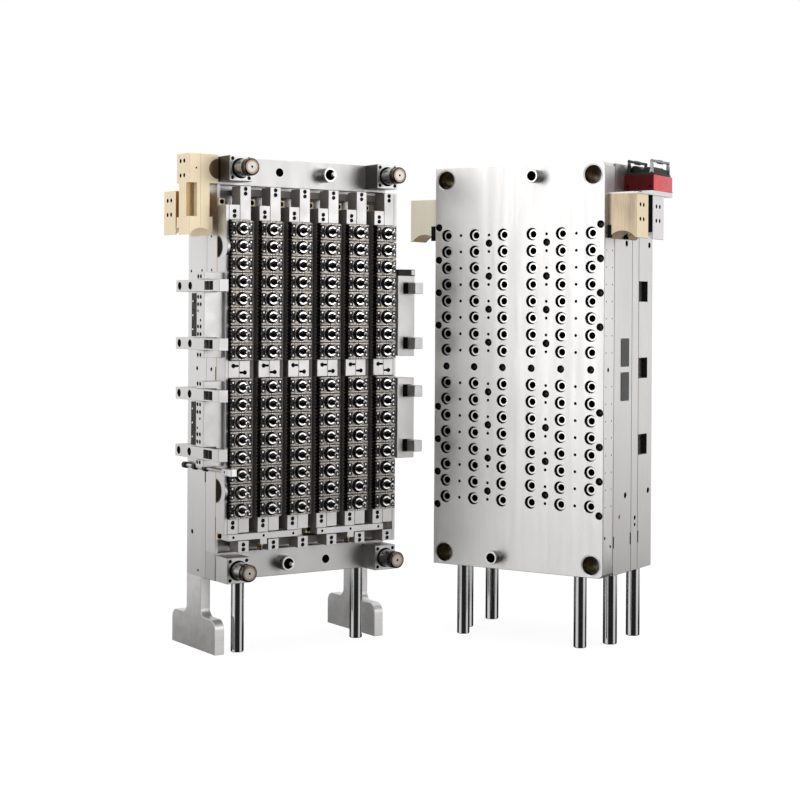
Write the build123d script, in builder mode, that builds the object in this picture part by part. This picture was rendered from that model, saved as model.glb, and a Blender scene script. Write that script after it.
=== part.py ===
from build123d import *
import os
from math import cos, pi, radians, sin

# A preform mould with six columns of sixteen cavities, taken apart into its two halves.
# The core half stands on the left and the cavity half on the right, turned like an open book.
# Each half has its own front plane. There X runs across, Y runs up from the middle row of
# cavities, and a depth counts rearwards from the plane. All lengths are in millimetres.

# Row, column and plate sizes shared by both halves
columns = 6
rows_per_bank = 8
row_pitch = 50.0
column_pitch = 98.0
plate_width = 575.0
plate_height = 1215.0
middle_height = 820.0
slip_gap = 0.3
cavity_sides = 6
round_sides = 12
arch_sides = 24

# Where the halves stand
core_home = (-304.0, -171.5)
cavity_home = (285.7, -29.4)
core_yaw = 33.8
cavity_yaw = -32.4

# Plates of the core half, by depth behind the front of the neck rings
stripper_front = 84.0
stripper_thickness = 60.0
core_plate_thickness = 118.0
wear_plate_thickness = 7.0
core_slot_width = 24.0
pocket_depth = 26.0
pocket_wall = 9.5
strip_height = 80.5
pocket_clear = 3.0
transfer_hole_radius = 10.0
transfer_hole_across = 83.0
transfer_hole_up = 571.5

# Cores and neck rings
core_radius = 7.8
core_clearance = 0.45
core_tip_reach = 35.0
ring_cone_height = 9.5
ring_base_radius = 19.0
ring_nose_radius = 14.25
cone_collar = 2.0
ring_block_thickness = 24.5
ring_end_gap = 0.5
ring_block_width = 35.0
parting_gap = 0.3

# Slide bars that carry the neck rings and open sideways
bar_thickness = 52.0
bar_relief = 9.0
outer_bar_extra = 10.0
left_bar_reach = 468.0
right_bar_reach = 522.0
slide_travel = 8.0
stripper_stroke = 60.0
link_height = 20.0
link_depth = 23.0
left_link_level = 443.0
right_link_level = 507.0
link_inset = 12.0
link_clearance = 1.0

# T-shaped tie bars under the left slide bars
tie_height = 19.0
tie_depth = 40.0
tie_front = 20.0
tie_leg_width = 23.0
tie_leg_height = 16.0
tie_pin_radius = 7.0
tie_pin_length = 14.0
tie_clearance = 1.0

# Rails between the columns and the pads at their ends
rail_width = 11.0
rail_depth = 37.0
rail_end_clearance = 1.0
pad_level = 471.0
pad_size = 20.0

# Leader pins, their housings and bushings
guide_across = 249.0
guide_up = 571.0
pin_radius = 25.0
pin_clearance = 0.05
pin_reach = 53.0
pin_nose_length = 18.0
pin_nose_step = 1.2
pin_seat_depth = 60.0
housing_width = 72.0
housing_height = 73.0
housing_front = 14.0
bushing_wall = 5.0

# Cam arms on the core plate and the cam covers on the outer slide bars
arm_inner_level = 72.0
arm_outer_level = 237.0
arm_height = 34.0
arm_thickness = 29.0
arm_outer_reach = 351.0
left_arm_reach = 54.0
right_arm_reach = 30.0
arm_rear_depth = 214.0
arm_notch_setback = 39.0
arm_notch_length = 52.0
arm_notch_depth = 8.5
arm_notch_wall = 5.0
arm_pad_front = 147.0
cover_inner_level = 33.0
cover_outer_level = 275.0
left_cover_front = 37.4
right_cover_front = 15.0
cover_rear = 84.0
cover_web = 20.0
cover_outer_reach = 351.0
cover_window_gap = 1.0
keeper_depth = 31.0
keeper_thickness = 25.0
keeper_gap = 4.0

# Cable bracket on top of the right cam cover
bracket_height = 19.0
bracket_length = 62.0
bracket_depth = 26.0

# Air plungers on the stripper plate
plunger_across = 67.0
plunger_up = 569.0
plunger_radius = 21.5
plunger_wall = 6.0
plunger_length = 40.0
plunger_pin_radius = 6.5
plunger_pin_reach = 23.0

# Feet and posts of the core half
foot_thickness = 31.0
foot_neck_width = 91.0
foot_base_front = 83.0
foot_base_rear = 356.0
foot_base_height = 98.0
foot_shoulder_radius = 28.0
foot_throat_radius = 24.0
core_post_across = 203.0
core_post_depth = 104.0
core_post_radius = 19.0

# Water blocks on the flanks of the core half
water_reach = 379.0
front_water_front = 77.0
front_water_rear = 143.7
front_water_lip = 158.0
front_water_lip_gap = 12.0
front_notch_top = 530.0
front_notch_bottom = 433.0
front_water_top = 613.0
front_water_bottom = 382.0
rear_water_front = 165.0
rear_water_rear = 240.0
rear_water_top = 500.0
rear_water_bottom = 382.0
arch_radius = 54.0
arch_rise = 20.0

# Plates of the cavity half, by depth behind its front face
cavity_plate_thickness = 68.0
manifold_plate_thickness = 125.0
distributor_plate_thickness = 47.0
clamp_plate_thickness = 100.0
corner_cut = 10.0

# Cavity seats and bores
seat_mouth_radius = 19.5
seat_depth = 9.5
bore_radius = 10.25
bore_depth = 48.0

# Locating tubes, clamp slots and posts of the cavity half
tube_across = 65.0
tube_up = 570.5
tube_radius = 20.0
tube_bore_radius = 14.0
tube_reach = 37.0
tube_seat_depth = 20.0
clamp_slot_pitch = 232.0
clamp_slot_height = 61.0
clamp_slot_width = 65.0
clamp_slot_depth = 19.0
front_post_across = 199.0
front_post_depth = 34.0
front_post_radius = 19.0
middle_post_depth = 137.0
rear_post_depth = 299.0
rear_post_across = 247.0
rear_post_radius = 21.0

# Water blocks and the electrical connector of the cavity half
cavity_water_top = 514.0
cavity_water_bottom = 385.0
gold_water_front = 20.0
gold_water_rear = 100.0
left_gold_reach = 390.0
right_gold_reach = 380.0
silver_water_front = 132.0
silver_water_rear = 211.0
socket_reach = 384.0
socket_front = 132.0
socket_rear = 266.0
socket_base_height = 14.0
socket_height = 46.0
insert_margin = 20.0
insert_height = 20.0
latch_arm_height = 34.0
latch_arm_width = 12.0
latch_arm_thickness = 6.0
latch_bar_radius = 4.0
latch_pivot_rise = 9.0
latch_pivot_radius = 3.0
latch_inset = 12.0
latch_post_inset = 14.0
latch_gap = 0.4

# Sizes worked out from the ones above
core_plate_front = stripper_front + stripper_thickness
core_plate_rear = core_plate_front + core_plate_thickness
wear_plate_front = stripper_front - wear_plate_thickness
bar_back = wear_plate_front - slip_gap
bar_front = bar_back - bar_thickness
bank_low = row_pitch / 2
bank_high = row_pitch * (rows_per_bank + 0.5)
bank_middle = (bank_low + bank_high) / 2
bank_length = bank_high - bank_low
rail_reach = bank_high - rail_end_clearance
half_width = plate_width / 2
half_height = plate_height / 2
pocket_top = half_height - strip_height
pocket_low = bank_high + pocket_clear
column_centres = [column_pitch * (k - (columns - 1) / 2) for k in range(columns)]
row_levels = [row_pitch * k for k in range(-rows_per_bank, rows_per_bank + 1) if k != 0]
ring_back = ring_cone_height + ring_block_thickness
rail_places = [(a + b) / 2 for a, b in zip(column_centres, column_centres[1:])]
bank_places = [(x, y) for x in column_centres for y in (-bank_middle, bank_middle)]
cavity_places = [(x, y) for x in column_centres for y in row_levels]
tube_places = [(tube_across, tube_up), (-tube_across, -tube_up)]
latch_post_places = [socket_front + latch_post_inset, socket_rear - latch_post_inset]
manifold_front = cavity_plate_thickness
distributor_front = manifold_front + manifold_plate_thickness
clamp_front = distributor_front + distributor_plate_thickness
guide_places = [(x, y) for x in (-guide_across, guide_across) for y in (-guide_up, guide_up)]
arm_levels = [-arm_outer_level, -arm_inner_level, arm_inner_level, arm_outer_level]


def front_of(home, yaw):
    """The front plane of one half: X across, Y up from the middle row, facing the viewer."""
    turn = radians(yaw)
    return Plane(
        origin=(home[0], home[1], middle_height),
        x_dir=(cos(turn), sin(turn), 0),
        z_dir=(sin(turn), -cos(turn), 0),
    )


core_front = front_of(core_home, core_yaw)
cavity_front = front_of(cavity_home, cavity_yaw)


def behind(front, depth):
    """A plane parallel to the front, this far behind it."""
    return front.offset(-depth)


def across(front, distance):
    """A plane square to the front: X runs rearwards, Y up, and it faces to the right."""
    return Plane(origin=front.from_local_coords((distance, 0, 0)), x_dir=-front.z_dir, z_dir=front.x_dir)


def level(front, height):
    """A level plane: X runs across, Y rearwards, and it faces up."""
    return Plane(origin=front.from_local_coords((0, height, 0)), x_dir=front.x_dir, z_dir=(0, 0, 1))


def save(part):
    """Write one finished piece under its own name."""
    export_step(part, f"parts/{part.label}.step")


def disc(radius, sides=round_sides, mode=Mode.ADD):
    """Draw a round outline with the few flat sides that the repeated pieces get."""
    RegularPolygon(radius / cos(pi / (2 * sides)), sides, rotation=180 / sides, mode=mode)


def cone(base_radius, tip_radius, height):
    """A many-sided cone, with a short collar below Z = 0 that sinks into what carries it."""
    with BuildPart(mode=Mode.PRIVATE) as shape:
        with BuildSketch(Plane.XY.offset(-cone_collar)):
            disc(base_radius, cavity_sides)
        extrude(amount=cone_collar + height)
        side_slope = (base_radius - tip_radius) * cos(pi / cavity_sides) / cos(pi / (2 * cavity_sides))
        chamfer(shape.faces().sort_by(Axis.Z)[-1].edges(), length=height, length2=side_slope)
    return shape.part


os.makedirs("parts", exist_ok=True)

# Core plate, with blind seats for the leader pins
with BuildPart() as core_plate:
    with BuildSketch(behind(core_front, core_plate_front)):
        Rectangle(plate_width, plate_height)
    extrude(amount=-core_plate_thickness)
    with BuildSketch(behind(core_front, core_plate_front)):
        with Locations(*guide_places):
            disc(pin_radius)
    extrude(amount=-pin_seat_depth, mode=Mode.SUBTRACT)
core_plate.part.label = "core_plate"
save(core_plate.part)

# Stripper plate, with long slots for the cores, two pockets for the link bars and its bores
with BuildPart() as stripper_plate:
    with BuildSketch(behind(core_front, stripper_front)):
        Rectangle(plate_width, plate_height)
    extrude(amount=slip_gap - stripper_thickness)
    with BuildSketch(behind(core_front, stripper_front)):
        with Locations((0, (pocket_low + pocket_top) / 2), (0, -(pocket_low + pocket_top) / 2)):
            Rectangle(plate_width - 2 * pocket_wall, pocket_top - pocket_low)
    extrude(amount=-pocket_depth, mode=Mode.SUBTRACT)
    with BuildSketch(behind(core_front, stripper_front)):
        with Locations(*bank_places):
            Rectangle(core_slot_width, bank_length)
        with Locations(*guide_places):
            disc(pin_radius + pin_clearance)
        with Locations((-transfer_hole_across, transfer_hole_up), (transfer_hole_across, -transfer_hole_up)):
            disc(transfer_hole_radius)
    extrude(amount=-stripper_thickness, mode=Mode.SUBTRACT)
stripper_plate.part.label = "stripper_plate"
save(stripper_plate.part)

# Bronze wear plate that the slide bars run on
with BuildPart() as wear_plate:
    with BuildSketch(behind(core_front, wear_plate_front)):
        Rectangle(plate_width, 2 * bank_high)
        with Locations(*bank_places):
            Rectangle(core_slot_width, bank_length, mode=Mode.SUBTRACT)
    extrude(amount=-wear_plate_thickness)
wear_plate.part.label = "wear_plate"
save(wear_plate.part)

# Cores, one node for each column
for number, centre in enumerate(column_centres, start=1):
    with BuildPart() as cores:
        with BuildSketch(behind(core_front, core_plate_front)):
            with Locations(*[(centre, y) for y in row_levels]):
                disc(core_radius, cavity_sides)
        extrude(amount=core_plate_front + core_tip_reach)
    cores.part.label = f"cores_{number}"
    save(cores.part)

# Slide bars: a left and a right one for each column, with room for the cores and the neck rings
bar_width = ring_block_width - parting_gap / 2
for side, name, reach in ((-1, "left", left_bar_reach), (1, "right", right_bar_reach)):
    outer_column = side * column_pitch * (columns - 1) / 2
    with BuildPart() as bars:
        with BuildSketch(behind(core_front, bar_front)):
            with Locations(*[(x + side * (parting_gap + bar_width) / 2, 0) for x in column_centres]):
                Rectangle(bar_width, 2 * reach)
            with Locations((outer_column + side * (ring_block_width + outer_bar_extra / 2), 0)):
                Rectangle(outer_bar_extra, 2 * reach)
        extrude(amount=-bar_thickness)
        with BuildSketch(behind(core_front, bar_front)):
            with Locations(*bank_places):
                Rectangle(2 * bar_relief, bank_length)
        extrude(amount=-bar_thickness, mode=Mode.SUBTRACT)
        with BuildSketch(behind(core_front, bar_front)):
            with Locations(*bank_places):
                Rectangle(2 * ring_block_width + 2 * parting_gap, bank_length)
        extrude(amount=bar_front - ring_back, mode=Mode.SUBTRACT)
        if side > 0:
            with BuildSketch(behind(core_front, bar_front)):
                with Locations((0, -left_bar_reach - tie_height / 2)):
                    Rectangle(plate_width + outer_bar_extra, tie_height + 2 * tie_clearance)
            extrude(amount=bar_front - tie_front - tie_depth - tie_clearance, mode=Mode.SUBTRACT)
            with BuildSketch(behind(core_front, bar_back)):
                with Locations((0, left_link_level), (0, -left_link_level)):
                    Rectangle(plate_width + outer_bar_extra, link_height + 2 * link_clearance)
            extrude(amount=link_clearance, mode=Mode.SUBTRACT)
    bars.part.label = f"{name}_slide_bars"
    save(bars.part)

# Neck ring halves: a strip of blocks for each bank, with half a cone and half a bore for each core
ring_cone = cone(ring_base_radius, ring_nose_radius, ring_cone_height)
for side, name in ((-1, "left"), (1, "right")):
    with BuildPart() as rings:
        with BuildSketch(behind(core_front, ring_cone_height)):
            with Locations(*[(x + side * (parting_gap + ring_block_width) / 2, y) for x, y in bank_places]):
                Rectangle(ring_block_width, bank_length - 2 * ring_end_gap)
        extrude(amount=-ring_block_thickness)
        with Locations(behind(core_front, ring_cone_height)):
            with Locations(*cavity_places):
                add(ring_cone)
        with BuildSketch(core_front):
            with Locations(*[(x - side * (ring_base_radius - parting_gap / 4), 0) for x in column_centres]):
                Rectangle(2 * ring_base_radius + parting_gap / 2, plate_height)
        extrude(amount=-ring_back, mode=Mode.SUBTRACT)
        with BuildSketch(core_front):
            with Locations(*cavity_places):
                disc(core_radius + core_clearance, cavity_sides)
        extrude(amount=-ring_back, mode=Mode.SUBTRACT)
    rings.part.label = f"{name}_neck_rings"
    save(rings.part)

# Link bars behind the slide bars tie each set of six together
link_length = column_pitch * (columns - 1) + ring_block_width - 2 * link_inset
for side, name, height in ((-1, "left", left_link_level), (1, "right", right_link_level)):
    with BuildPart() as links:
        with BuildSketch(behind(core_front, bar_back)):
            with Locations((side * ring_block_width / 2, height), (side * ring_block_width / 2, -height)):
                Rectangle(link_length, link_height)
        extrude(amount=-link_depth)
    links.part.label = f"{name}_link_bars"
    save(links.part)

# Tie bars under the left slide bars, each over three columns and with a leg and a pin
tie_length = column_pitch * (columns / 2 - 1) + ring_block_width
tie_bottom = -left_bar_reach - tie_height
leg_bottom = tie_bottom - tie_leg_height
tie_middles = [side * column_pitch * columns / 4 - ring_block_width / 2 for side in (-1, 1)]
with BuildPart() as tie_bars:
    with BuildSketch(behind(core_front, tie_front)):
        with Locations(*[(x, tie_bottom + tie_height / 2) for x in tie_middles]):
            Rectangle(tie_length, tie_height)
        with Locations(*[(x, tie_bottom - tie_leg_height / 2) for x in tie_middles]):
            Rectangle(tie_leg_width, tie_leg_height)
    extrude(amount=-tie_depth)
tie_bars.part.label = "tie_bars"
save(tie_bars.part)

with BuildPart() as tie_pins:
    with BuildSketch(level(core_front, leg_bottom)):
        with Locations(*[(x, tie_front + tie_depth / 2) for x in tie_middles]):
            disc(tie_pin_radius)
    extrude(amount=-tie_pin_length)
tie_pins.part.label = "tie_pins"
save(tie_pins.part)

# Rails in the gaps between the columns, with a pad past each end
with BuildPart() as rails:
    with BuildSketch(behind(core_front, wear_plate_front)):
        with Locations(*[(x, 0) for x in rail_places]):
            Rectangle(rail_width, 2 * rail_reach)
    extrude(amount=rail_depth)
rails.part.label = "slide_rails"
save(rails.part)

with BuildPart() as pads:
    with BuildSketch(behind(core_front, stripper_front + pocket_depth)):
        with Locations(*[(x, y) for x in rail_places for y in (-pad_level, pad_level)]):
            Rectangle(pad_size, pad_size)
    extrude(amount=stripper_front + pocket_depth - wear_plate_front)
pads.part.label = "rail_pads"
save(pads.part)

# Housings that guide the stripper plate on the leader pins
with BuildPart() as housings:
    with BuildSketch(behind(core_front, housing_front)):
        with Locations(*guide_places):
            Rectangle(housing_width, housing_height)
            disc(pin_radius + pin_clearance, mode=Mode.SUBTRACT)
    extrude(amount=housing_front - stripper_front)
housings.part.label = "guide_housings"
save(housings.part)

# Leader pins, seated in the core plate, with a stepped nose
with BuildPart() as leader_pins:
    with BuildSketch(behind(core_front, core_plate_front + pin_seat_depth)):
        with Locations(*guide_places):
            disc(pin_radius)
    extrude(amount=core_plate_front + pin_seat_depth + pin_reach - pin_nose_length)
    with BuildSketch(behind(core_front, pin_nose_length - pin_reach)):
        with Locations(*guide_places):
            disc(pin_radius - pin_nose_step)
    extrude(amount=pin_nose_length)
leader_pins.part.label = "leader_pins"
save(leader_pins.part)

# Cam arms on the flanks of the core plate, reaching forward through the cam covers
arm_inner = arm_outer_reach - arm_thickness
for side, name, reach in ((-1, "left", left_arm_reach), (1, "right", right_arm_reach)):
    notch_middle = arm_notch_setback - reach + arm_notch_length / 2
    with BuildPart() as arms:
        with BuildSketch(across(core_front, side * arm_inner)):
            with Locations(*[((arm_rear_depth - reach) / 2, y) for y in arm_levels]):
                Rectangle(arm_rear_depth + reach, arm_height)
        extrude(amount=side * arm_thickness)
        with BuildSketch(across(core_front, side * half_width)):
            with Locations(*[((arm_pad_front + arm_rear_depth) / 2, y) for y in arm_levels]):
                Rectangle(arm_rear_depth - arm_pad_front, arm_height)
        extrude(amount=side * (arm_inner - half_width))
        with BuildSketch(across(core_front, side * arm_outer_reach)):
            with Locations(*[(notch_middle, y) for y in arm_levels]):
                Rectangle(arm_notch_length, arm_height - 2 * arm_notch_wall)
        extrude(amount=-side * arm_notch_depth, mode=Mode.SUBTRACT)
    arms.part.label = f"{name}_cam_arms"
    save(arms.part)

# Cam covers on the outer slide bars, with a window for each cam arm, and their keepers
cover_inner = column_pitch * (columns - 1) / 2 + ring_block_width + outer_bar_extra
cover_length = cover_outer_level - cover_inner_level
cover_middle = (cover_outer_level + cover_inner_level) / 2
keeper_low = arm_inner_level + arm_height / 2 + keeper_gap
keeper_high = arm_outer_level - arm_height / 2 - keeper_gap
keeper_middle = (keeper_low + keeper_high) / 2
for side, name, cover_front in ((-1, "left", left_cover_front), (1, "right", right_cover_front)):
    cover_depth = cover_rear - cover_front
    with BuildPart() as covers:
        with BuildSketch(across(core_front, side * cover_inner)):
            with Locations(*[(cover_front + cover_depth / 2, y) for y in (-cover_middle, cover_middle)]):
                Rectangle(cover_depth, cover_length)
        extrude(amount=side * (cover_outer_reach - cover_inner))
        with BuildSketch(across(core_front, side * (cover_inner + cover_web))):
            with Locations(*[(cover_front + cover_depth / 2, y) for y in arm_levels]):
                Rectangle(cover_depth, arm_height + 2 * cover_window_gap)
        extrude(amount=side * (cover_outer_reach - cover_inner), mode=Mode.SUBTRACT)
    covers.part.label = f"{name}_cam_covers"
    save(covers.part)
    with BuildPart() as keepers:
        with BuildSketch(across(core_front, side * (cover_outer_reach - keeper_thickness))):
            with Locations(*[(cover_rear + keeper_depth / 2, y) for y in (-keeper_middle, keeper_middle)]):
                Rectangle(keeper_depth, keeper_high - keeper_low)
        extrude(amount=side * keeper_thickness)
    keepers.part.label = f"{name}_cover_keepers"
    save(keepers.part)

# Cable bracket on top of the right cam cover
with BuildPart() as bracket:
    with BuildSketch(level(core_front, cover_outer_level)):
        with Locations((cover_inner + bracket_length / 2, right_cover_front + bracket_depth / 2)):
            Rectangle(bracket_length, bracket_depth)
    extrude(amount=bracket_height)
bracket.part.label = "cable_bracket"
save(bracket.part)

# Air plungers on the stripper plate
plunger_places = [(plunger_across, plunger_up), (-plunger_across, -plunger_up)]
with BuildPart() as plungers:
    with BuildSketch(behind(core_front, stripper_front)):
        with Locations(*plunger_places):
            disc(plunger_radius)
            disc(plunger_radius - plunger_wall, mode=Mode.SUBTRACT)
    extrude(amount=plunger_length)
plungers.part.label = "plunger_sleeves"
save(plungers.part)

with BuildPart() as plunger_pins:
    with BuildSketch(behind(core_front, stripper_front)):
        with Locations(*plunger_places):
            disc(plunger_pin_radius)
    extrude(amount=plunger_length + plunger_pin_reach)
plunger_pins.part.label = "plunger_pins"
save(plunger_pins.part)

# Feet under the core plate: flat plates with a narrow neck and a wide rounded base
floor_level = -middle_height
neck_middle = core_plate_rear - foot_neck_width / 2
base_top = floor_level + foot_base_height
with BuildPart() as feet:
    for side in (-1, 1):
        with BuildSketch(across(core_front, side * (half_width - foot_thickness))) as outline:
            with Locations(((foot_base_front + foot_base_rear) / 2, floor_level + foot_base_height / 2)):
                Rectangle(foot_base_rear - foot_base_front, foot_base_height)
            fillet(outline.vertices().group_by(Axis.Y)[-1], foot_shoulder_radius)
            with Locations((neck_middle, floor_level + (middle_height - half_height) / 2)):
                Rectangle(foot_neck_width, middle_height - half_height)
            base_corners = [v for v in outline.vertices() if abs(v.Y - base_top) < slip_gap]
            neck_edge = foot_neck_width / 2 + slip_gap
            throats = [v for v in base_corners if abs(v.X - neck_middle) < neck_edge]
            fillet(throats, foot_throat_radius)
        extrude(amount=side * foot_thickness)
feet.part.label = "feet"
save(feet.part)

# Posts under the stripper plate
with BuildPart() as core_posts:
    with BuildSketch(level(core_front, floor_level)):
        with Locations((-core_post_across, core_post_depth), (core_post_across, core_post_depth)):
            disc(core_post_radius)
    extrude(amount=middle_height - half_height)
core_posts.part.label = "stripper_posts"
save(core_posts.part)

# Water blocks on the left flank of the core half, each with an arch in its underside
water_middle = -(half_width + water_reach) / 2
for name, near, far, top, bottom in (
    ("front_water_block", front_water_front, front_water_rear, front_water_top, front_water_bottom),
    ("rear_water_block", rear_water_front, rear_water_rear, rear_water_top, rear_water_bottom),
):
    with BuildPart() as block:
        with BuildSketch(behind(core_front, near)):
            with Locations((water_middle, (top + bottom) / 2)):
                Rectangle(water_reach - half_width, top - bottom)
            with Locations((water_middle, bottom + arch_rise - arch_radius)):
                disc(arch_radius, arch_sides, mode=Mode.SUBTRACT)
        extrude(amount=near - far)
        if name == "front_water_block":
            lip_inner = half_width + front_water_lip_gap
            with BuildSketch(behind(core_front, far)):
                for high, low in ((top, front_notch_top), (front_notch_bottom, bottom + arch_rise)):
                    with Locations((-(lip_inner + water_reach) / 2, (high + low) / 2)):
                        Rectangle(water_reach - lip_inner, high - low)
            extrude(amount=far - front_water_lip)
    block.part.label = name
    save(block.part)

# Cavity plate, with a tapered seat and a bore for every cavity, bushing bores and tube seats
seat_cone = cone(seat_mouth_radius, bore_radius, seat_depth)
with BuildPart() as cavity_plate:
    with BuildSketch(cavity_front) as outline:
        Rectangle(plate_width, plate_height)
        chamfer(outline.vertices().group_by(Axis.X)[-1], corner_cut)
    extrude(amount=-cavity_plate_thickness)
    with Locations(Plane(origin=cavity_front.origin, x_dir=cavity_front.x_dir, z_dir=-cavity_front.z_dir)):
        with Locations(*cavity_places):
            add(seat_cone, mode=Mode.SUBTRACT)
    with BuildSketch(behind(cavity_front, seat_depth)):
        with Locations(*cavity_places):
            disc(bore_radius, cavity_sides)
    extrude(amount=seat_depth - bore_depth, mode=Mode.SUBTRACT)
    with BuildSketch(cavity_front):
        with Locations(*guide_places):
            disc(pin_radius + bushing_wall)
    extrude(amount=-cavity_plate_thickness, mode=Mode.SUBTRACT)
    with BuildSketch(cavity_front):
        with Locations(*tube_places):
            disc(tube_radius)
    extrude(amount=-tube_seat_depth, mode=Mode.SUBTRACT)
cavity_plate.part.label = "cavity_plate"
save(cavity_plate.part)

with BuildPart() as guide_bushings:
    with BuildSketch(cavity_front):
        with Locations(*guide_places):
            disc(pin_radius + bushing_wall)
            disc(pin_radius + pin_clearance, mode=Mode.SUBTRACT)
    extrude(amount=-cavity_plate_thickness)
guide_bushings.part.label = "guide_bushings"
save(guide_bushings.part)

with BuildPart() as tubes:
    with BuildSketch(behind(cavity_front, tube_seat_depth)):
        with Locations(*tube_places):
            disc(tube_radius)
            disc(tube_bore_radius, mode=Mode.SUBTRACT)
    extrude(amount=tube_seat_depth + tube_reach)
tubes.part.label = "locating_tubes"
save(tubes.part)

# Plates behind the cavity plate
for name, near, thickness in (
    ("manifold_plate", manifold_front, manifold_plate_thickness),
    ("distributor_plate", distributor_front, distributor_plate_thickness),
):
    with BuildPart() as plate:
        with BuildSketch(behind(cavity_front, near)):
            Rectangle(plate_width, plate_height)
        extrude(amount=-thickness)
    plate.part.label = name
    save(plate.part)

with BuildPart() as clamp_plate:
    with BuildSketch(behind(cavity_front, clamp_front)):
        Rectangle(plate_width, plate_height)
    extrude(amount=-clamp_plate_thickness)
    for side in (-1, 1):
        with BuildSketch(across(cavity_front, side * half_width)):
            with Locations(*[(clamp_front + clamp_slot_width / 2, clamp_slot_pitch * k) for k in (-1, 0, 1)]):
                Rectangle(clamp_slot_width, clamp_slot_height)
        extrude(amount=-side * clamp_slot_depth, mode=Mode.SUBTRACT)
clamp_plate.part.label = "clamp_plate"
save(clamp_plate.part)

# Posts under the cavity half
with BuildPart() as front_posts:
    with BuildSketch(level(cavity_front, floor_level)):
        with Locations((-front_post_across, front_post_depth), (front_post_across, front_post_depth)):
            disc(front_post_radius)
    extrude(amount=middle_height - half_height)
front_posts.part.label = "front_posts"
save(front_posts.part)

rear_post_depths = (middle_post_depth, rear_post_depth)
rear_post_places = [(x, d) for x in (-rear_post_across, rear_post_across) for d in rear_post_depths]
with BuildPart() as rear_posts:
    with BuildSketch(level(cavity_front, floor_level)):
        with Locations(*rear_post_places):
            disc(rear_post_radius)
    extrude(amount=middle_height - half_height)
rear_posts.part.label = "rear_posts"
save(rear_posts.part)

# Water blocks on both flanks of the cavity half
for name, side, near, far, reach in (
    ("left_gold_block", -1, gold_water_front, gold_water_rear, left_gold_reach),
    ("right_gold_block", 1, gold_water_front, gold_water_rear, right_gold_reach),
    ("right_silver_block", 1, silver_water_front, silver_water_rear, right_gold_reach),
):
    with BuildPart() as block:
        with BuildSketch(behind(cavity_front, near)):
            with Locations((side * (half_width + reach) / 2, (cavity_water_top + cavity_water_bottom) / 2)):
                Rectangle(reach - half_width, cavity_water_top - cavity_water_bottom)
            with Locations((side * (half_width + reach) / 2, cavity_water_bottom + arch_rise - arch_radius)):
                disc(arch_radius, arch_sides, mode=Mode.SUBTRACT)
        extrude(amount=near - far)
    block.part.label = name
    save(block.part)

# Electrical connector on top of the right water blocks: base plate, housing and insert
socket_middle = (half_width + socket_reach) / 2
socket_bottom = cavity_water_top + socket_base_height
socket_top = socket_bottom + socket_height
pivot_level = socket_top + latch_pivot_rise
with BuildPart() as socket_base:
    with BuildSketch(level(cavity_front, cavity_water_top)):
        with Locations((socket_middle, (gold_water_front + socket_rear) / 2)):
            Rectangle(socket_reach - half_width, socket_rear - gold_water_front)
    extrude(amount=socket_base_height)
socket_base.part.label = "socket_base"
save(socket_base.part)

with BuildPart() as socket_housing:
    with BuildSketch(level(cavity_front, socket_bottom)):
        with Locations((socket_middle, (socket_front + socket_rear) / 2)):
            Rectangle(socket_reach - half_width, socket_rear - socket_front)
    extrude(amount=socket_height)
socket_housing.part.label = "socket_housing"
save(socket_housing.part)

latch_places = [half_width + latch_inset, socket_reach - latch_inset]
insert_width = socket_reach - half_width - 2 * insert_margin
insert_length = socket_rear - socket_front - 2 * insert_margin
with BuildPart() as socket_insert:
    with BuildSketch(level(cavity_front, socket_top)):
        with Locations((socket_middle, (socket_front + socket_rear) / 2)):
            Rectangle(insert_width, insert_length)
    extrude(amount=insert_height)
socket_insert.part.label = "socket_insert"
save(socket_insert.part)

# Pivot rods of the two latches, held in posts at the ends of the housing
with BuildPart() as latch_pivots:
    with BuildSketch(level(cavity_front, socket_top)):
        with Locations(*[(x, d) for x in latch_places for d in latch_post_places]):
            Rectangle(latch_arm_width, latch_arm_thickness)
    extrude(amount=latch_pivot_rise + latch_arm_width / 2)
    for d, way in ((latch_post_places[0], -1), (latch_post_places[1], 1)):
        with BuildSketch(behind(cavity_front, d)):
            with Locations(*[(x, pivot_level) for x in latch_places]):
                Circle(latch_pivot_radius)
        extrude(amount=-way * (latch_arm_thickness / 2 + latch_gap + latch_arm_thickness))
latch_pivots.part.label = "latch_pivots"
save(latch_pivots.part)

# Latches: bails whose arms turn on the pivots and whose bar closes over the insert
arm_places = [
    latch_post_places[0] - latch_arm_thickness - latch_gap,
    latch_post_places[1] + latch_arm_thickness + latch_gap,
]
for place, name in zip(latch_places, ("inner_latch", "outer_latch")):
    with BuildPart() as latch:
        for d in arm_places:
            with BuildSketch(behind(cavity_front, d + latch_arm_thickness / 2)):
                with Locations((place, pivot_level + latch_arm_height / 2)):
                    Rectangle(latch_arm_width, latch_arm_height + latch_arm_width)
                with Locations((place, pivot_level)):
                    Circle(latch_pivot_radius + pin_clearance, mode=Mode.SUBTRACT)
            extrude(amount=latch_arm_thickness)
        with BuildSketch(behind(cavity_front, arm_places[1])):
            with Locations((place, pivot_level + latch_arm_height)):
                disc(latch_bar_radius)
        extrude(amount=arm_places[1] - arm_places[0])
    latch.part.label = name
    save(latch.part)
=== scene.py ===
import math

import bmesh
import bpy
from bmesh.types import BMEdge, BMFace, BMVert
from mathutils import Matrix, Vector


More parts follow.
